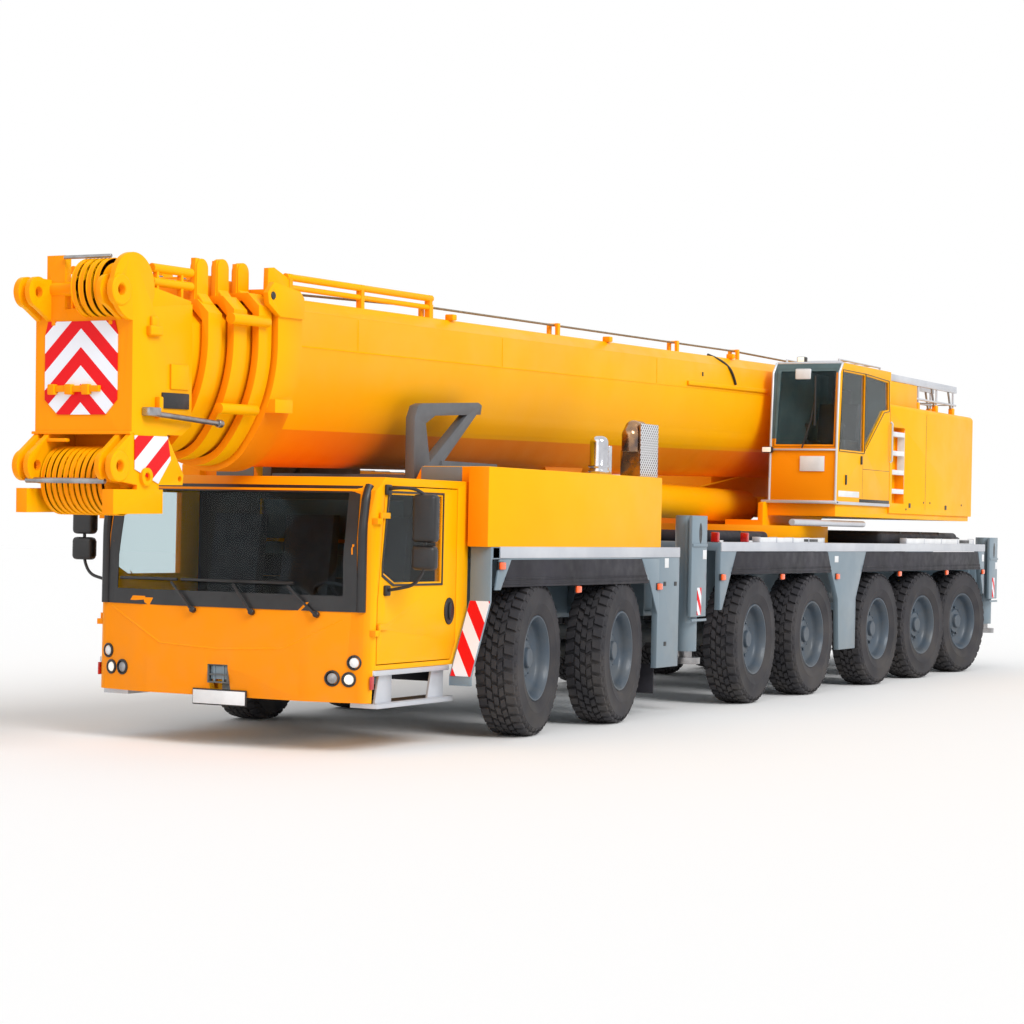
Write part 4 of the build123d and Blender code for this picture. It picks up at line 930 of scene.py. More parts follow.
@dataclass
class CabTrim:
    """Windscreen surround, wipers, lamps, coupling and plate on the driver's cab."""

    proud: float = 0.004
    # pivot across, tip across, blade start across, blade end across
    wipers: tuple = ((-0.256, -0.476, -1.0, -0.44), (0.29, 0.1, -0.4, 0.14), (0.856, 0.6, 0.1, 0.64))
    # across, up, radius, finish of the glass
    lamps: tuple = ((1.138, 0.702, 0.046, Look.WHITE), (0.971, 0.578, 0.05, Look.STEEL),
                    (1.099, 0.573, 0.046, Look.LAMP))

    def on_nose(self, point: Flat, lift: float = 0.0) -> Point:
        """A place across and up, put on the nose."""
        return (cab_front(*point) + lift, point[0], point[1])

    def surround(self) -> Piece:
        """Black border printed round the windscreen, and the dark pillar covers."""
        outer = [(-1.165, 1.085), (1.165, 1.085), (1.13, 2.045), (-1.13, 2.045)]
        inner = [(-1.05, 1.205), (1.05, 1.205), (1.035, 1.99), (-1.035, 1.99)]
        border = Bench.ring(outer, inner, lambda p: self.on_nose(p, self.proud), 0.006, Look.TRIM, 12)
        heights = [1.085 + 0.08 * i for i in range(13)]
        pillar = Bench.tube([(cab_front(1.19, z) + 0.004, 1.19, z) for z in heights], 0.036, Look.TRIM,
                            sides=6)
        return Bench.join("windscreen_surround", [border, Bench.mirrored(pillar)])

    def wiper_set(self) -> Piece:
        """Three parked wipers."""
        parts = Kit()
        for pivot, tip, start, end in self.wipers:
            foot = self.on_nose((pivot, 1.055), 0.012)
            head = self.on_nose((tip, 1.27), 0.03)
            parts.bar(foot, (foot[0] + 0.035, foot[1], foot[2] + 0.01), 0.024, Look.TRIM)
            parts.tube([(foot[0] + 0.03, foot[1], foot[2]), (head[0] + 0.02, head[1], head[2])], 0.011,
                       Look.TRIM, False, 2)
            blade = [self.on_nose((start + (end - start) * i / 4, 1.29), 0.022) for i in range(5)]
            parts.tube(blade, 0.012, Look.TRIM, False, 2)
        return Bench.join("wipers", parts)

    def lamp_set(self) -> Piece:
        """Indicator, fog lamp and headlight on each side, each in a black ring."""
        parts = Kit()
        for across, height, radius, look in self.lamps:
            foot = self.on_nose((across, height), -0.03)
            lean = Vector((1, across * 0.25, 0.0))
            bowl = [(0, 0.0), (radius + 0.012, 0.0), (radius + 0.012, 0.038), (radius, 0.044),
                    (radius * 0.9, 0.03), (0, 0.03)]
            glass = [(0, 0.024), (radius * 0.92, 0.024), (radius * 0.8, 0.036), (radius * 0.4, 0.044),
                     (0, 0.046)]
            parts.spun(bowl, foot, lean, Look.TRIM, 28)
            parts.spun(glass, foot, lean, look, 28)
        return Bench.mirrored(Bench.join("front_lamps", parts))

    def nose_fittings(self) -> Piece:
        """Crease in the nose, coupling jaw's frame and bars, blank plate and side markers."""
        crease = [(-1.12, 1.06), (-0.85, 0.93), (-0.57, 0.79), (0, 0.765), (0.57, 0.79), (0.85, 0.93),
                  (1.12, 1.06)]
        line = [self.on_nose((y + t * (v - y), z + t * (w - z)), -0.003) for (y, z),
                (v, w) in zip(crease, crease[1:])
                for t in (0, 0.25, 0.5, 0.75)]
        parts = Kit([Bench.tube(line, 0.008, Look.YELLOW, False, 3)])
        face = cab_front(0, 0.57)
        for y in (-0.095, 0.085):
            parts.block((face - 0.05, y, 0.5), (face + 0.006, y + 0.012, 0.645), Look.GREY_DARK, 0.002)
        for z in (0.5, 0.56, 0.635):
            parts.block((face - 0.04, -0.09, z), (face + 0.002, 0.09, z + 0.012), Look.GREY_DARK, 0.002)
        for y in (-0.05, 0.035):
            parts.block((face - 0.03, y, 0.505), (face - 0.01, y + 0.014, 0.64), Look.GREY, 0.002)
        parts.block((7.418, -0.24, 0.335), (7.43, 0.24, 0.44), Look.WHITE, 0.004)
        parts.block((7.408, -0.25, 0.325), (7.42, 0.25, 0.45), Look.TRIM, 0.004)
        for side in (1, -1):
            parts.block((7.225, side * 1.262, 0.5), (7.275, side * 1.276, 0.6), Look.RED, 0.004)
        return Bench.join("nose_fittings", parts)

    def sills(self) -> Piece:
        """Silver sills under the doors, step treads and the black underside behind them."""
        parts = Kit()
        for side in (1, -1):
            parts.block((6.07, side * 1.25, 0.602), (7.235, side * 1.288, 0.643), Look.RAIL, 0.006)
            parts.block((5.99, side * 1.24, 0.386), (7.18, side * 1.283, 0.392), Look.RAIL, 0.002)
            parts.block((6.02, side * 1.06, 0.386), (7.15, side * 1.2, 0.391), Look.TRIM, 0.002)
        return Bench.join("cab_sills_and_steps", parts)

    def stripes(self) -> Piece:
        """Red and white plates on the slanted ends of the front mudguards."""
        top, foot = Vector((5.79, 0, 1.15)), Vector((6.097, 0, 0.556))
        out = Vector((0.888, 0, 0.459)) * 0.004
        points = [top + out, foot + out, foot - out * 0.2, top - out * 0.2]
        outline = [(p.x, p.z) for p in points]
        plate = Bench.plate(outline, Axis.Y, 1.315, 1.497, Look.FENDER, 0.0)
        edge = Bench.plate([(5.777, 1.144), (5.786, 1.152), (6.1, 0.553), (6.1, 0.48), (6.088, 0.48),
                            (6.088, 0.553)],
                           Axis.Y, 1.304, 1.313, Look.GREY, 0.002)
        return Bench.mirrored(Bench.join("mudguard_stripes", [plate, edge]))

    def build(self) -> None:
        """Makes and mounts the cab's fittings."""
        Bench.mount(self.surround(), "chassis", "dark_trim")
        Bench.mount(self.wiper_set(), "chassis", "dark_trim")
        Bench.mount(self.lamp_set(), "chassis", "dark_trim")
        Bench.mount(self.nose_fittings(), "chassis", "chassis_grey")
        Bench.mount(self.sills(), "chassis", "chassis_grey")
        Bench.mount(self.stripes(), "chassis", "deck_grey")


@dataclass
class DoorTrim:
    """Mirrors, window seal and handle of one cab door."""

    side: int
    window: tuple = ((6.23, 1.31), (6.96, 1.31), (7.13, 1.385), (7.13, 1.48), (7.05, 1.985), (6.23, 1.985))
    # underside, top, thickness fore and aft
    mirrors: tuple = ((1.625, 1.99, 0.11), (1.415, 1.6, 0.1))

    def grown(self, by: float) -> list[Flat]:
        """The window's outline, moved out from its middle."""
        middle = (6.68, 1.65)
        return [(x + math.copysign(by, x - middle[0]), z + math.copysign(by, z - middle[1])) for x,
                z in self.window]

    def build(self) -> None:
        """Makes and mounts the door's fittings."""
        name = "left" if self.side > 0 else "right"
        s = self.side
        face = s * 1.283
        parts = Kit([Bench.ring(self.grown(0.028), self.grown(-0.012), lambda p: (p[0], face, p[1]), 0.008,
                                Look.TRIM, 3)])
        recess, grip = oval(6.085, 1.073, 0.078, 0.108), oval(6.09, 1.073, 0.026, 0.07, 20)
        parts.plate(recess, Axis.Y, s * 1.276, s * 1.292, Look.TRIM, 0.006, 3)
        parts.plate(grip, Axis.Y, s * 1.285, s * 1.306, Look.TRIM, 0.006, 3)
        for low, high, depth in self.mirrors:
            parts.block((7.11 - depth, s * 1.5, low), (7.11, s * 1.7, high), Look.TRIM, 0.035, 4)
            parts.block((7.107 - depth, s * 1.515, low + 0.03), (7.112 - depth, s * 1.685, high - 0.03),
                        Look.CHROME, 0.002)
        arms = [[(7.1, s * 1.27, 2.02), (7.11, s * 1.36, 2.04), (7.08, s * 1.56, 2.03),
                 (7.06, s * 1.6, 1.97)],
                [(7.09, s * 1.27, 1.25), (7.1, s * 1.36, 1.26), (7.07, s * 1.57, 1.31),
                 (7.06, s * 1.6, 1.45)]]
        for arm in arms:
            parts.tube(arm, 0.013, Look.TRIM, True, 3)
            x, y, z = arm[0]
            parts.block((x - 0.035, s * 1.272, z - 0.04), (x + 0.035, s * 1.31, z + 0.04), Look.TRIM, 0.012,
                        3)
        parts.tube([(7.06, s * 1.6, 1.59), (7.06, s * 1.6, 1.64)], 0.014, Look.TRIM, False, 3)
        Bench.mount(Bench.join(f"door_fittings_{name}", parts), f"door_{name}", "dark_trim")


# ---------------------------------------------------------------- deck and running boards
@dataclass
class DeckTrim:
    """Edge rails, rubber flaps, grey aprons, marker lamps and blank labels along both sides."""

    face: float = 1.5
    # front, rear, underside, top
    rails: tuple = ((1.966, 5.64, 1.5, 1.592), (-8.17, 0.94, 1.556, 1.647))
    # outlines of the rubber flaps over the wheels, and the height of their ribs
    flaps: tuple = (
        (((5.43, 1.488), (5.6, 1.262), (2.655, 1.262), (2.835, 1.488)), (1.335, 1.325, 1.29)),
        (((0.523, 1.55), (0.675, 1.326), (-2.27, 1.322), (-2.14, 1.55)), (1.39, 1.38, 1.345)),
        (((-3.423, 1.55), (-3.267, 1.323), (-8.0, 1.32), (-7.86, 1.55)), (1.385, 1.375, 1.34)),
    )
    aprons: tuple = (
        ((5.43, 1.49), (5.638, 1.49), (5.71, 1.24), (5.612, 1.24)),
        ((2.83, 1.49), (2.655, 1.3), (2.455, 0.975), (2.43, 0.8), (2.43, 1.49)),
    )
    # forward, up
    markers: tuple = ((5.621, 1.437), (2.45, 1.228), (-2.43, 1.278), (-8.066, 1.289), (0.9, 1.3))
    hung: tuple = ((4.125, 1.225), (-0.799, 1.29), (-4.691, 1.29), (-6.564, 1.29))
    # forward, up, width, height
    labels: tuple = ((2.265, 1.447, 0.09, 0.09), (-2.42, 1.47, 0.12, 0.07), (-8.1, 1.47, 0.09, 0.09))
    slots: tuple = ((2.3, 1.252), (2.27, 0.69), (2.05, 1.25))

    def strips(self) -> Piece:
        """Silver strips along the deck's edges."""
        parts = Kit()
        for rear, front, low, high in self.rails:
            parts.block((rear, self.face - 0.004, low), (front, self.face + 0.008, high), Look.RAIL, 0.004)
            parts.block((rear, self.face - 0.035, high - 0.006), (front, self.face + 0.004, high + 0.002),
                        Look.RAIL, 0.002)
        parts.block((5.642, 1.4, 1.495), (5.76, self.face, 1.59), Look.TRIM, 0.006)
        return Bench.mirrored(Bench.join("deck_edge_rails", parts))

    def rubber(self) -> Piece:
        """Flaps over the wheels, each with three moulded ribs, and the flaps behind them."""
        parts = Kit()
        for outline, ribs in self.flaps:
            parts.plate(outline, Axis.Y, self.face - 0.012, self.face + 0.002, Look.FLAP, 0.004)
            high, low = outline[0][1], outline[1][1]
            for height in ribs:
                share = (high - height) / (high - low)
                front = outline[0][0] + share * (outline[1][0] - outline[0][0])
                rear = outline[3][0] + share * (outline[2][0] - outline[3][0])
                parts.tube([(front - 0.01, self.face + 0.002, height),
                            (rear + 0.01, self.face + 0.002, height)], 0.006, Look.FLAP, False, 2)
        parts.plate([(0.95, 0.225), (1.42, 0.225), (1.42, 0.5), (0.95, 0.5)], Axis.X, 2.33, 2.345,
                    Look.FLAP, 0.004)
        parts.plate([(0.95, 0.25), (1.42, 0.25), (1.42, 0.6), (0.95, 0.6)], Axis.X, -8.17, -8.155,
                    Look.FLAP, 0.004)
        return Bench.mirrored(Bench.join("rubber_flaps", parts))

    def panels(self) -> Piece:
        """Grey aprons beside the flaps with their slots."""
        parts = Kit([Bench.plate(outline, Axis.Y, self.face - 0.016, self.face + 0.001, Look.GREY, 0.003)
                     for outline in self.aprons])
        # Painted shade: each slot is a thin black block, its black standing for the shade inside the slot.
        for x, z in self.slots:
            parts.block((x - 0.03, self.face, z - 0.02), (x + 0.03, self.face + 0.003, z + 0.02), Look.TRIM,
                        0.001)
        return Bench.mirrored(Bench.join("grey_aprons", parts))

    def lamps(self) -> Piece:
        """Amber marker lamps on black feet, some hung below the flaps."""
        parts = Kit()
        for x, z in self.markers + self.hung:
            foot = self.face if (x, z) in self.markers else self.face - 0.03
            parts.block((x - 0.05, foot - 0.01, z - 0.034), (x + 0.05, foot + 0.008, z + 0.034), Look.TRIM,
                        0.006)
            parts.block((x - 0.045, foot + 0.006, z - 0.03), (x + 0.045, foot + 0.03, z + 0.03), Look.AMBER,
                        0.01, 3)
        for x, z in self.hung:
            parts.block((x - 0.02, self.face - 0.03, z), (x + 0.02, self.face - 0.014, z + 0.12), Look.TRIM,
                        0.003)
        return Bench.mirrored(Bench.join("marker_lamps", parts))

    def plates(self) -> Piece:
        """Blank white labels."""
        parts = [Bench.block((x - w / 2, self.face, z - h / 2), (x + w / 2, self.face + 0.003, z + h / 2),
                             Look.WHITE, 0.001)
                 for x, z, w, h in self.labels]
        return Bench.mirrored(Bench.join("blank_labels", parts))

    def build(self) -> None:
        """Makes and mounts the deck's fittings."""
        for piece, slot in ((self.strips(), "deck_grey"), (self.rubber(), "dark_trim"),
                            (self.panels(), "deck_grey"),
                            (self.lamps(), "dark_trim"), (self.plates(), "deck_grey")):
            Bench.mount(piece, "chassis", slot)


# ---------------------------------------------------------------- boom
@dataclass
class BoomTrim:
    """Warning plates, latch, guards and pipes on the boom, in the boom's own frame."""

    tilt: float = 1.1
    rise: float = 0.237
    foot: Point = (-5.9, 0.0, 2.85)
    # section, collar's rear and front face, foot, top and fin's tip above the centre
    caps: tuple = (("telescope_1", 13.57, 13.745, 0.63, 0.745, 0.884),
                   ("telescope_2", 13.84, 14.015, 0.59, 0.765, 0.89),
                   ("telescope_3", 14.11, 14.285, 0.55, 0.715, 0.87))

    def place(self) -> Matrix:
        """From the boom's frame, heights counted from its sections' centre, to the machine's."""
        return (Matrix.Translation(self.foot) @ Matrix.Rotation(math.radians(self.tilt), 4, "Y")
                @ Matrix.Translation((0, 0, self.rise)))

    def fit(self, name: str, body: str, slot: str, parts: Sequence[Piece]) -> None:
        """Joins parts, puts them on the boom and mounts them."""
        piece = Bench.join(name, parts)
        piece.data.transform(self.place())
        Bench.mount(piece, body, slot)

    def head_front(self) -> None:
        """Chevron plate, latch bar, ledge and guards on the head's front."""
        octagon = [(-0.31, 0.357), (0.275, 0.357), (0.30, 0.27), (0.30, -0.2), (0.2, -0.306),
                   (-0.22, -0.306),
                   (-0.335, -0.2), (-0.335, 0.26)]
        self.fit("head_chevron_plate", "boom_head", "yellow_paint",
                 [Bench.plate(octagon, Axis.X, 15.111, 15.119, Look.CHEVRON, 0.0)])
        parts = Kit([Bench.block((15.112, -0.29, -0.145), (15.15, 0.16, -0.1), Look.YELLOW, 0.006),
                     *Bench.blocks((((15.1, -0.44, -0.446), (15.135, 0.43, -0.425)),
                                    ((15.1, -0.36, -0.5), (15.15, -0.12, -0.475)),
                                    ((14.78, -0.4, -0.66), (14.81, 0.4, -0.43))), Look.YELLOW, 0.005)])
        for y in (-0.25, -0.1, 0.05):
            parts.block((15.115, y - 0.03, -0.165), (15.165, y + 0.03, -0.09), Look.YELLOW, 0.008)
        for y in (-0.26, 0.24):
            parts.block((15.112, y - 0.015, 0.33), (15.125, y + 0.015, 0.36), Look.YELLOW, 0.002)
        self.fit("head_latch_and_ledge", "boom_head", "yellow_paint", parts)
        steel = [Bench.bar((15.13, -0.16, 0.812), (15.13, 0.25, 0.812), 0.014, Look.STEEL),
                 Bench.bar((15.285, -0.36, -0.775), (15.285, 0.33, -0.775), 0.02, Look.STEEL),
                 Bench.bar((14.99, 0.48, -0.29), (14.08, 0.48, -0.344), 0.02, Look.STEEL),
                 Bench.bar((14.13, 0.48, -0.341), (14.08, 0.48, -0.344), 0.03, Look.STEEL),
                 Bench.block((14.86, 0.43, -0.31), (15.0, 0.5, -0.25), Look.STEEL, 0.006)]
        self.fit("head_rope_guards", "boom_head", "hard_chrome", steel)

    def head_side(self) -> None:
        """Striped gusset, black panel, cover plates and bolts on the head's sides."""
        outline = [(15.085, -0.452), (14.69, -0.452), (14.65, -0.62), (14.8, -0.79), (15.08, -0.69)]
        plate = Bench.plate(outline, Axis.Y, 0.43, 0.436, Look.STRIPES, 0.0)
        self.fit("head_side_stripes", "boom_head", "yellow_paint", [Bench.mirrored(plate)])
        parts = Kit([Bench.block((14.43, 0.424, -0.25), (14.76, 0.437, -0.137), Look.TRIM, 0.003),
                     Bench.block((14.44, 0.424, -0.11), (14.66, 0.44, 0.07), Look.YELLOW, 0.005),
                     Bench.block((14.8, 0.42, 0.26), (14.95, 0.47, 0.33), Look.YELLOW, 0.015, 3),
                     Bench.block((14.83, 0.42, 0.3), (14.91, 0.45, 0.4), Look.YELLOW, 0.02, 3),
                     Bench.block((14.79, 0.424, -0.33), (14.84, 0.47, -0.17), Look.YELLOW, 0.01)])
        for pin in ((15.25, 0.56), (15.25, -0.67)):
            for y in (0.425, -0.425):
                ring = [(0.11, 0.0), (0.11, 0.006), (0.1, 0.012), (0.05, 0.012), (0.042, 0.006), (0.042, 0)]
                parts.spun(ring, (pin[0], y, pin[1]), Vector((0, math.copysign(1, y), 0)), Look.YELLOW, 36)
        self.fit("head_side_fittings", "boom_head", "yellow_paint", parts)

    def sheaves(self) -> None:
        """Grooved rims between the rope sheaves."""
        parts = Kit()
        for count, first, pitch, thick, radius, x, z in (
                (11, -0.275, 0.05, 0.034, 0.24, 14.99, -0.775),
                (4, 0.02, 0.066, 0.042, 0.205, 15.085, 0.59)):
            for index in range(count):
                y = first + index * pitch
                groove = [(radius - 0.03, 0.0), (radius + 0.004, 0.0), (radius + 0.006, thick * 0.12),
                          (radius - 0.012, thick * 0.38), (radius - 0.012, thick * 0.62),
                          (radius + 0.006, thick * 0.88), (radius + 0.004, thick), (radius - 0.03, thick)]
                parts.spun(groove, (x, y, z), Vector((0, 1, 0)), Look.YELLOW, 40)
        self.fit("sheave_rims", "boom_head", "yellow_paint", parts)

    def base_lines(self) -> None:
        """Rope along the base section, weld lines, clips and dark discs at the collar's pin holes."""
        parts = Kit()
        for y in (0.33, 0.35):
            run = [(1.2, y, 0.712), (3.75, y, 0.757), (8.3, y, 0.757), (10.78, y, 0.757), (13.1, y, 0.7)]
            parts.tube(run, 0.009, Look.ROPE, False, 2)
        self.fit("rope_on_boom", "boom_base", "engine_grey", parts)
        seams = Kit()
        for x in (0.9, 3.1, 6.4, 9.8, 12.3):
            for y in (0.5805, -0.5805):
                seams.block((x - 0.006, y - 0.002, 0.285), (x + 0.006, y + 0.002, 0.54), Look.YELLOW, 0.001)
        for y in (0.581, -0.581):
            seams.block((-0.3, y - 0.003, 0.274), (13.2, y + 0.003, 0.286), Look.YELLOW, 0.001)
        for x in (1.0, 4.2, 7.4, 10.6):
            seams.block((x - 0.04, 0.45, 0.648), (x + 0.04, 0.53, 0.7), Look.YELLOW, 0.01)
        self.fit("boom_seams_and_clips", "boom_base", "yellow_paint", seams)
        # Painted shade: each pin hole is a short black bar, its black standing for the shade inside the
        # hole.
        pins = Kit()
        for y in (0.642, -0.642):
            pins.bar((13.646, y - math.copysign(0.04, y), 0.632),
                     (13.646, y + math.copysign(0.006, y), 0.632), 0.03, Look.TRIM)
        self.fit("collar_pin_holes", "boom_base", "dark_trim", pins)

    def collar_caps(self) -> None:
        """Raised caps and rounded fins on top of each telescope's collar."""
        for name, start, end, foot, top, tip in self.caps:
            outline = [(-0.43, foot), (-0.3, top), (0.3, top), (0.43, foot), (0.43, foot - 0.03),
                       (-0.43, foot - 0.03)]
            parts = Kit([Bench.plate(outline, Axis.X, start + 0.02, end - 0.02, Look.YELLOW, 0.012, 3)])
            middle, reach = (start + end) / 2, (end - start) / 2 - 0.012
            round_top = [(middle + reach * math.cos(math.radians(t)),
                          tip - reach + reach * math.sin(math.radians(t)))
                         for t in range(0, 181, 15)]
            fin = [(middle + reach, foot), *round_top, (middle - reach, foot)]
            for y in (0.318, -0.382):
                parts.plate(fin, Axis.Y, y, y + 0.064, Look.YELLOW, 0.008)
            for y in (-0.2, 0.0, 0.2):
                parts.spun([(0, 0), (0.03, 0), (0.03, 0.012), (0.024, 0.018), (0, 0.018)],
                           (middle, y, top - 0.002), UP, Look.STEEL, 20)
            self.fit(f"collar_cap_{name}", name, "yellow_paint", parts)

    def head_top(self) -> None:
        """Rising side plates, two tubes and their feet on top of the head."""
        parts = Kit()
        for low, high in ((0.386, 0.424), (-0.424, -0.386)):
            parts.plate([(14.396, 0.5), (14.396, 0.539), (14.887, 0.612), (14.887, 0.45)], Axis.Y, low,
                        high, Look.YELLOW, 0.005)
        for z in (0.655, 0.755):
            for y in (0.35, -0.35):
                parts.bar((14.3, y, z), (14.79, y, z), 0.033, Look.YELLOW, 18)
        for y in (0.35, -0.35):
            for x in (14.42, 14.72):
                parts.block((x, y - 0.02, 0.5), (x + 0.03, y + 0.02, 0.77), Look.YELLOW, 0.006)
        self.fit("head_top_tubes", "boom_head", "yellow_paint", parts)

    def base_sides(self) -> None:
        """Raised strip, hose and clips on the base section's sides near the cab."""
        parts = Kit()
        for y in (0.58, -0.58):
            out = math.copysign(0.022, y)
            low, high = sorted((y - out * 0.3, y + out))
            parts.block((3.3, low, 0.3), (5.62, high, 0.345), Look.YELLOW, 0.008, 3)
            parts.block((5.19, min(y, y + out * 0.3), 0.41), (5.22, max(y, y + out * 0.3), 0.455),
                        Look.TRIM, 0.002)
        self.fit("boom_side_strips", "boom_base", "yellow_paint", parts)
        hose = [(4.72, 0.43, 0.668), (4.62, 0.52, 0.625), (4.48, 0.592, 0.54), (4.36, 0.596, 0.44),
                (4.3, 0.594, 0.36)]
        self.fit("boom_side_hose", "boom_base", "dark_trim", [Bench.tube(hose, 0.014, Look.TRIM, True, 3)])

    def build(self) -> None:
        """Makes and mounts the boom's fittings."""
        self.collar_caps()
        self.head_top()
        self.base_sides()
        self.head_front()
        self.head_side()
        self.sheaves()
        self.base_lines()


# ---------------------------------------------------------------- superstructure
@dataclass
class CraneCabTrim:
    """Window seals, roof rails, lamp, wiper and handles of the crane operator's cab."""

    front: float = -2.36
    side: float = 1.5
    # across, up; then forward, up
    front_pane: tuple = ((0.77, 2.74), (1.45, 2.74), (1.45, 3.56), (0.8, 3.56))
    side_pane: tuple = ((-3.255, 2.69), (-2.45, 2.69), (-2.53, 3.56), (-3.255, 3.56))
    # forward, low, high
    handles: tuple = ((-3.17, 2.542, 2.639), (-2.662, 2.301, 2.411))
    rear_pane: tuple = ((-3.3, 2.71), (-3.93, 3.19), (-4.12, 3.215), (-4.09, 3.53), (-3.3, 3.56))

    @staticmethod
    def grown(outline: Sequence[Flat], by: float) -> list[Flat]:
        """An outline moved out from its middle."""
        u = sum(p[0] for p in outline) / len(outline)
        v = sum(p[1] for p in outline) / len(outline)
        return [(a + math.copysign(by, a - u), b + math.copysign(by, b - v)) for a, b in outline]

    def build(self) -> None:
        """Makes and mounts the crane cab's fittings."""
        parts = Kit()
        for outline, y in ((self.side_pane, self.side), (self.rear_pane, self.side)):
            parts.ring(self.grown(outline, 0.022), self.grown(outline, -0.016),
                       lambda p: (p[0], y + 0.003, p[1]), 0.008, Look.TRIM, 3)
        low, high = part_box("crane_cab_glass")
        parts.ring(self.grown(self.front_pane, 0.022), self.grown(self.front_pane, -0.02),
                   lambda p: (high.x + 0.018, p[0], p[1]), 0.008, Look.TRIM, 3)
        parts.tube([(-2.33, 1.1, 2.7), (-2.325, 1.2, 3.0), (-2.325, 1.25, 3.25)], 0.01, Look.TRIM, False, 2)
        parts.tube([(-2.32, 1.25, 2.95), (-2.32, 1.25, 3.5)], 0.012, Look.TRIM, False, 2)
        for x, low, high in self.handles:
            parts.block((x - 0.018, self.side, low), (x + 0.018, self.side + 0.016, high), Look.TRIM, 0.006,
                        3)
        parts.block((-4.19, self.side - 0.01, 2.115), (-3.14, self.side + 0.004, 2.15), Look.TRIM, 0.002)
        parts.blocks((((-4.19, self.side - 0.001, 2.49), (-3.24, self.side + 0.0012, 2.495)),
                      ((-3.24, self.side - 0.001, 2.16), (-3.235, self.side + 0.0012, 2.68))),
                     Look.TRIM, 0.0005)
        Bench.mount(Bench.join("crane_cab_seals", parts), "superstructure", "dark_trim")
        Bench.mount(self.edges(), "superstructure", "chassis_grey")
        Bench.mount(self.roof_rails(), "superstructure", "chassis_grey")
        lamps = [Bench.block((-2.37, 0.632, 2.645), (-2.3, 0.75, 2.712), Look.TRIM, 0.012, 3),
                 Bench.block((-2.304, 0.64, 2.652), (-2.296, 0.742, 2.705), Look.LAMP, 0.006, 3),
                 Bench.block((-2.73, 0.9, 3.66), (-2.64, 1.0, 3.74), Look.TRIM, 0.012, 3),
                 Bench.block((-2.642, 0.91, 3.665), (-2.636, 0.99, 3.735), Look.LAMP, 0.002),
                 Bench.block((-2.364, 1.07, 2.442), (-2.354, 1.356, 2.61), Look.WHITE, 0.001),
                 Bench.block((-2.45, 0.967, 3.47), (-2.425, 1.152, 3.59), Look.WHITE, 0.012, 3),
                 Bench.block((-3.12, self.side, 2.165), (-2.43, self.side + 0.004, 2.232), Look.WHITE,
                             0.001)]
        Bench.mount(Bench.join("crane_cab_lamps_and_labels", lamps), "superstructure", "dark_trim")
        Bench.mount(self.seat(), "superstructure", "dark_trim")

    def edges(self) -> Piece:
        """Bright strips along the front's edges, under its pane and along the sill."""
        parts = Kit()
        for y in (0.712, self.side - 0.008):
            line = [(self.front + 0.004, y, 2.11), (self.front - 0.014, y, 2.82),
                    (self.front - 0.055, y, 3.54),
                    (self.front - 0.16, y, 3.655)]
            parts.tube(line, 0.014, Look.RAIL, False, 3)
        parts.block((self.front - 0.02, 0.71, 2.672), (self.front + 0.006, self.side - 0.01, 2.692),
                    Look.RAIL, 0.003)
        parts.blocks((((self.front - 0.05, 0.62, 2.083), (self.front + 0.02, self.side + 0.012, 2.118)),
                      ((-4.19, self.side - 0.03, 2.078), (self.front, self.side + 0.012, 2.113)),
                      ((self.front - 0.2, 0.72, 3.645), (self.front - 0.15, self.side - 0.02, 3.672)),
                      ((-4.12, self.side - 0.035, 3.638), (self.front - 0.18, self.side - 0.005, 3.664))),
                     Look.RAIL, 0.006)
        return Bench.join("crane_cab_bright_edges", parts)

    def roof_rails(self) -> Piece:
        """Grid over the roof, grab rail at the rear and the tube under the platform's edge."""
        rails = Kit()
        for y in (0.8, 1.42):
            rails.tube([(-2.6, y, 3.66), (-2.6, y, 3.7), (-4.0, y, 3.7), (-4.0, y, 3.66)], 0.014, Look.RAIL,
                       False, 3)
        for x in (-2.9, -3.3, -3.7):
            rails.tube([(x, 0.8, 3.7), (x, 1.42, 3.7)], 0.01, Look.RAIL, False, 3)
        rails.tube([(-4.12, 1.53, 2.6), (-4.12, 1.55, 2.62), (-4.12, 1.55, 3.05), (-4.12, 1.53, 3.07)],
                   0.013, Look.RAIL, False, 3)
        rails.tube([(-1.27, 1.4, 1.867), (-3.57, 1.4, 1.867)], 0.035, Look.RAIL, False, 4)
        return Bench.join("crane_cab_rails", rails)

    def seat(self) -> Piece:
        """Headrest, side bolsters and control columns of the crane operator's seat."""
        parts = Kit([Bench.block((-3.62, 1.0, 3.2), (-3.5, 1.22, 3.42), Look.SEAT, 0.04, 4),
                     *Bench.blocks((((-3.5, 0.86, 2.62), (-3.0, 0.93, 2.82)),
                                    ((-3.5, 1.29, 2.62), (-3.0, 1.36, 2.82))), Look.TRIM, 0.025, 3)])
        for y in (0.895, 1.325):
            parts.tube([(-3.06, y, 2.8), (-3.04, y, 2.9), (-3.02, y, 2.97)], 0.012, Look.TRIM, True, 3)
            parts.spun([(0, 0), (0.022, 0.008), (0.026, 0.03), (0.018, 0.055), (0, 0.062)],
                       (-3.02, y, 2.95), UP, Look.TRIM, 20)
        return Bench.join("crane_cab_seat_fittings", parts)


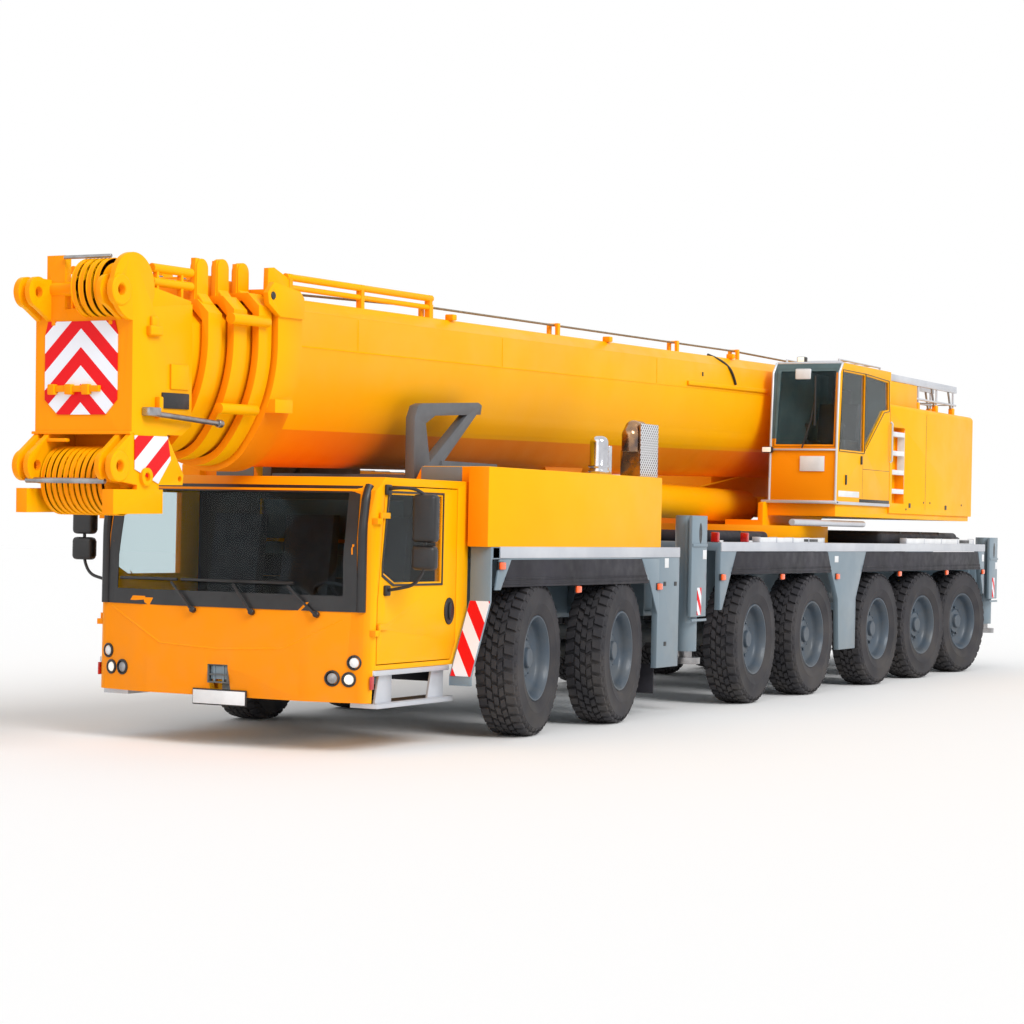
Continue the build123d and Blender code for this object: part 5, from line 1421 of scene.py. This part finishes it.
@dataclass
class HousingTrim:
    """Panel joint, latches, folded railing and brackets on the superstructure's housings."""

    face: float = 1.5
    seam: float = -5.575
    top: float = 3.295
    # forward, up, half width, half height of the latches low on the panels
    latches: tuple = ((-4.964, 2.107, 0.035, 0.028), (-6.41, 2.104, 0.035, 0.028),
                      (-5.507, 2.152, 0.014, 0.012),
                      (-5.762, 2.151, 0.014, 0.012), (-7.078, 2.146, 0.014, 0.012),
                      (-4.83, 2.06, 0.014, 0.012))
    # the folded railing's flat bars: side, underside, top
    flats: tuple = ((1.28, 3.6, 3.685), (0.98, 3.6, 3.685), (1.28, 3.43, 3.455), (0.98, 3.43, 3.455))

    def panels(self, side: int) -> list[Piece]:
        """The joint between the side's two panels and their latches."""
        y = side * self.face
        near, far = sorted((y - side * 0.002, y + side * 0.0015))
        parts = Kit([Bench.block((self.seam - 0.004, near, 2.06), (self.seam + 0.004, far, 3.23), Look.TRIM,
                                 0.0005)])
        for x, z, wide, high in self.latches:
            near, far = sorted((y, y + side * 0.006))
            parts.block((x - wide, near, z - high), (x + wide, far, z + high), Look.TRIM, 0.003)
        return parts

    def railing(self) -> Piece:
        """Railing folded flat on the left housing, on yellow brackets."""
        parts = Kit([Bench.block((-7.45, y - 0.02, low), (-4.45, y + 0.02, high), Look.RAIL, 0.006) for y,
                     low, high in self.flats])
        for x in (-4.6, -5.3, -6.1, -6.85, -7.38):
            parts.block((x - 0.02, 0.98, 3.655), (x + 0.02, 1.28, 3.68), Look.RAIL, 0.004)
            parts.block((x - 0.015, 0.98, 3.437), (x + 0.015, 1.28, 3.45), Look.STEEL, 0.003)
        for x in (-5.85, -6.6, -7.3):
            for y in (1.28, 0.98):
                parts.block((x - 0.05, y - 0.03, self.top - 0.004), (x + 0.05, y + 0.03, 3.4), Look.YELLOW,
                            0.015, 3)
                parts.tube([(x + 0.05, y, 3.39), (x + 0.16, y, 3.6)], 0.014, Look.STEEL, False, 3)
                parts.tube([(x - 0.05, y, 3.39), (x - 0.05, y, 3.6)], 0.014, Look.RAIL, False, 3)
        for x in (-4.75, -5.45):
            parts.block((x - 0.03, 0.97, 3.58), (x + 0.03, 1.3, 3.602), Look.YELLOW, 0.006)
        return Bench.join("housing_folded_railing", parts)

    def brackets(self) -> Piece:
        """Yellow covers over the pins through the boom's foot and the winch."""
        parts = Kit()
        for y in (0.688, -0.688):
            for x, z, radius in ((-5.9, 2.85, 0.13), (-7.13, 2.64, 0.08)):
                ring = [(0, -0.004), (radius, -0.004), (radius, 0.014), (radius * 0.86, 0.022), (0, 0.022)]
                parts.spun(ring, (x, y - math.copysign(0.006, y), z), Vector((0, math.copysign(1, y), 0)),
                           Look.YELLOW, 36)
        return Bench.join("foot_pin_covers", parts)

    def build(self) -> None:
        """Makes and mounts the housing's fittings."""
        dark = Bench.join("housing_joints_and_latches", self.panels(1) + self.panels(-1))
        Bench.mount(dark, "superstructure", "dark_trim")
        Bench.mount(self.railing(), "superstructure", "chassis_grey")
        Bench.mount(self.brackets(), "superstructure", "yellow_paint")


@dataclass
class DeckTop:
    """What lies on the deck: scale boxes, covers, stops and the grey walkway on the engine cover."""

    # rear, front, low, high of the white boxes along both edges
    boxes: tuple = ((-2.07, -0.157, 1.647, 1.7), (-7.74, -4.955, 1.647, 1.712))
    # rear, front, inner, outer, top of the soft covers
    covers: tuple = ((-1.0, 0.55, 0.55, 1.25, 1.76), (-7.6, -4.5, 0.35, 1.3, 1.79),
                     (-8.1, -7.68, 0.4, 1.2, 1.74))

    def edge_boxes(self) -> Piece:
        """White boxes with silver bands along the deck's edges, and red stops ahead of them."""
        parts = Kit()
        for rear, front, low, high in self.boxes:
            parts.block((rear, 1.4, low), (front, 1.475, high), Look.WHITE, 0.006)
            count = 4
            for i in range(count + 1):
                x = rear + (front - rear) * i / count
                parts.block((x - 0.012, 1.395, low), (x + 0.012, 1.48, high + 0.004), Look.RAIL, 0.002)
            parts.block((rear + 0.2, 1.474, low + 0.012), (rear + 0.62, 1.478, high - 0.012), Look.TRIM,
                        0.001)
        for x in (0.12, 0.9):
            parts.block((x - 0.025, 1.38, 1.645), (x + 0.025, 1.46, 1.745), Look.RED, 0.01, 3)
            parts.block((x - 0.12, 1.38, 1.645), (x - 0.03, 1.46, 1.665), Look.WHITE, 0.004)
        return Bench.mirrored(Bench.join("deck_edge_boxes", parts))

    def soft_covers(self) -> Piece:
        """Dark sheets tied over what is stowed on the deck, each with a strap."""
        parts = Kit()
        for rear, front, inner, outer, top in self.covers:
            parts.block((rear, inner, 1.64), (front, outer, top), Look.FLAP, 0.055, 5)
            count = max(2, round((front - rear) / 0.8))
            for i in range(1, count):
                x = rear + (front - rear) * i / count
                parts.block((x - 0.02, inner - 0.003, 1.645), (x + 0.02, outer + 0.003, top + 0.004),
                            Look.TRIM, 0.05, 4)
        return Bench.mirrored(Bench.join("deck_soft_covers", parts))

    def walkway(self) -> Piece:
        """Grey tread plates laid between the engine cover's raised edges, with their ribs."""
        parts = Kit()
        for side in (1, -1):
            low, high = sorted((side * 0.83, side * 1.2))
            parts.block((2.44, low, 2.238), (5.742, high, 2.246), Look.DECK, 0.003)
            for i in range(12):
                x = 2.6 + i * 0.27
                parts.block((x, low + 0.02, 2.245), (x + 0.03, high - 0.02, 2.251), Look.DECK, 0.002)
        parts.blocks((((2.44, -0.755, 2.118), (5.742, 0.755, 2.124)),
                      ((5.758, -1.2, 1.62), (5.764, 1.2, 2.118))),
                     Look.DECK, 0.002)
        for side in (1, -1):
            low, high = sorted((side * 0.82, side * 1.2))
            parts.block((5.758, low, 2.11), (5.764, high, 2.236), Look.DECK, 0.002)
        return Bench.join("engine_cover_walkway", parts)

    def build(self) -> None:
        """Makes and mounts what lies on the deck."""
        Bench.mount(self.edge_boxes(), "chassis", "deck_grey")
        Bench.mount(self.soft_covers(), "chassis", "dark_trim")
        Bench.mount(self.walkway(), "chassis", "deck_grey")


@dataclass
class Tail:
    """Lamps, blank plate and hitch hook behind the chassis."""

    rear: float = -9.3625
    # along the lamp bar from its middle: start, end, finish
    glasses: tuple = ((-0.15, -0.03, Look.RED), (-0.02, 0.06, Look.AMBER), (0.07, 0.15, Look.LAMP))

    def build(self) -> None:
        """Makes and mounts the tail's fittings."""
        parts = Kit()
        for side in (1, -1):
            y = side * 1.02
            parts.block((self.rear - 0.008, y - 0.16, 1.02), (self.rear, y + 0.16, 1.16), Look.TRIM, 0.003)
            for start, end, look in self.glasses:
                parts.block((self.rear - 0.018, y + start, 1.03), (self.rear - 0.006, y + end, 1.15), look,
                            0.005, 3)
        parts.block((self.rear - 0.006, -0.26, 1.06), (self.rear, 0.26, 1.18), Look.WHITE, 0.002)
        Bench.mount(Bench.join("tail_lamps_and_plate", parts), "chassis", "dark_trim")
        hook = Bench.tube([(-9.34, 1.12, 1.26), (-9.37, 1.12, 1.3), (-9.43, 1.12, 1.31),
                           (-9.45, 1.12, 1.26)],
                          0.016, Look.TRIM, True, 3)
        Bench.mount(Bench.join("tail_hook", [hook]), "chassis", "dark_trim")


@dataclass
class OutriggerTrim:
    """Warning plates and blank labels on each outrigger's end."""

    # name, side, beam's centre, height of the end plate's top
    places: tuple = (("front_left", 1, 1.48, 1.9), ("front_right", -1, 1.94, 1.9),
                     ("rear_left", 1, -8.6, 1.74), ("rear_right", -1, -9.06, 1.74))

    def build(self) -> None:
        """Makes and mounts the outriggers' plates."""
        for name, side, x, top in self.places:
            y = side * 1.5
            low, high = sorted((y, y + side * 0.004))
            parts = Kit([Bench.block((x - 0.06, low, 0.94), (x + 0.04, high, 1.205), Look.STRIPES_SMALL,
                                     0.001)])
            # Painted shade: the hole is a flat black oval, its black standing for the shade inside it.
            hole = oval(x - 0.02, top - 0.17, 0.035, 0.1)
            parts.plate(hole, Axis.Y, y - side * 0.002, y + side * 0.001, Look.TRIM, 0.0)
            parts.block((x - 0.17, low, top - 0.42), (x - 0.08, high, top - 0.33), Look.WHITE, 0.001)
            bar_low, bar_high = sorted((y - side * 0.004, y + side * 0.012))
            parts.blocks((((x - 0.18, bar_low, top - 0.3), (x + 0.18, bar_high, top - 0.27)),
                          ((x - 0.18, bar_low, 0.88), (x + 0.18, bar_high, 0.905))),
                         Look.GREY, 0.004)
            Bench.mount(Bench.join(f"outrigger_plates_{name}", parts), f"beam_{name}", "deck_grey")


# ---------------------------------------------------------------- scene
@dataclass
class Studio:
    """Floor, lights and camera."""

    eye: Point = (23.038, 10.591, 1.768)
    yaw: float = 3.618468
    pitch: float = 0.00556
    roll: float = 0.021072
    lens: float = 84.928

    def camera(self) -> None:
        """The camera, level with the axles and looking back along the machine."""
        data = bpy.data.cameras.new("camera")
        data.sensor_width = 36
        data.lens = self.lens
        data.clip_end = 500
        camera = bpy.data.objects.new("camera", data)
        bpy.context.scene.collection.objects.link(camera)
        forward = Vector((math.cos(self.pitch) * math.cos(self.yaw),
                          math.cos(self.pitch) * math.sin(self.yaw),
                          math.sin(self.pitch)))
        right = Vector((math.sin(self.yaw), -math.cos(self.yaw), 0))
        up = right.cross(forward)
        side = math.cos(self.roll) * right + math.sin(self.roll) * up
        top = math.cos(self.roll) * up - math.sin(self.roll) * right
        turn = Matrix((side, top, -forward)).transposed().to_4x4()
        camera.matrix_world = Matrix.Translation(self.eye) @ turn
        bpy.context.scene.camera = camera

    def backdrop(self) -> None:
        """White surroundings that mirrors and glass see too."""
        world = bpy.data.worlds.new("surroundings")
        bpy.context.scene.world = world
        world.use_nodes = True
        tree = world.node_tree
        background = tree.nodes["Background"]
        background.inputs["Color"].default_value = (1, 1, 1, 1)
        path = tree.nodes.new("ShaderNodeLightPath")
        seen = path.outputs["Is Camera Ray"]
        for ray in ("Is Glossy Ray", "Is Transmission Ray"):
            either = tree.nodes.new("ShaderNodeMath")
            either.operation = "MAXIMUM"
            tree.links.new(seen, either.inputs[0])
            tree.links.new(path.outputs[ray], either.inputs[1])
            seen = either.outputs[0]
        strength = tree.nodes.new("ShaderNodeMapRange")
        strength.inputs["To Min"].default_value = 0.62
        strength.inputs["To Max"].default_value = 1.0
        tree.links.new(seen, strength.inputs["Value"])
        tree.links.new(strength.outputs["Result"], background.inputs["Strength"])

    def floor(self) -> None:
        """A pale floor that keeps the shadow."""
        Bench.clear()
        bpy.ops.mesh.primitive_plane_add(size=160, location=(0, 0, 0))
        ground = bpy.context.object
        ground.name = "floor"
        material = bpy.data.materials.new("pale_floor")
        material.use_nodes = True
        tree = material.node_tree
        shader = tree.nodes["Principled BSDF"]
        shader.inputs["Base Color"].default_value = (0.93, 0.93, 0.93, 1)
        shader.inputs["Roughness"].default_value = 0.9
        shader.inputs["Specular IOR Level"].default_value = 0.1
        ground.data.materials.append(material)

    def lamps(self) -> None:
        """A broad key light from the left and a weak fill from the front."""
        for name, direction, power, angle in (
                ("key", (-0.35, -0.75, -0.62), 2.0, 30), ("fill", (-0.8, 0.1, -0.35), 0.55, 60)):
            data = bpy.data.lights.new(name, "SUN")
            data.energy = power
            data.angle = math.radians(angle)
            lamp = bpy.data.objects.new(name, data)
            lamp.rotation_mode = "QUATERNION"
            lamp.rotation_quaternion = Vector(direction).to_track_quat("-Z", "Y")
            bpy.context.scene.collection.objects.link(lamp)

    def build(self) -> None:
        """Sets the stage."""
        bpy.context.scene.view_settings.view_transform = "Standard"
        self.camera()
        self.backdrop()
        self.floor()
        self.lamps()


def main() -> None:
    """Builds the scene in order."""
    Studio().build()
    for assembly in (RunningGear(), Carried(), CabTrim(), DoorTrim(1), DoorTrim(-1), DeckTrim(), BoomTrim(),
                     CraneCabTrim(), HousingTrim(), DeckTop(), Tail(), OutriggerTrim()):
        assembly.build()
        LOG.info("%s done", type(assembly).__name__)


if __name__ == "__main__":
    main()
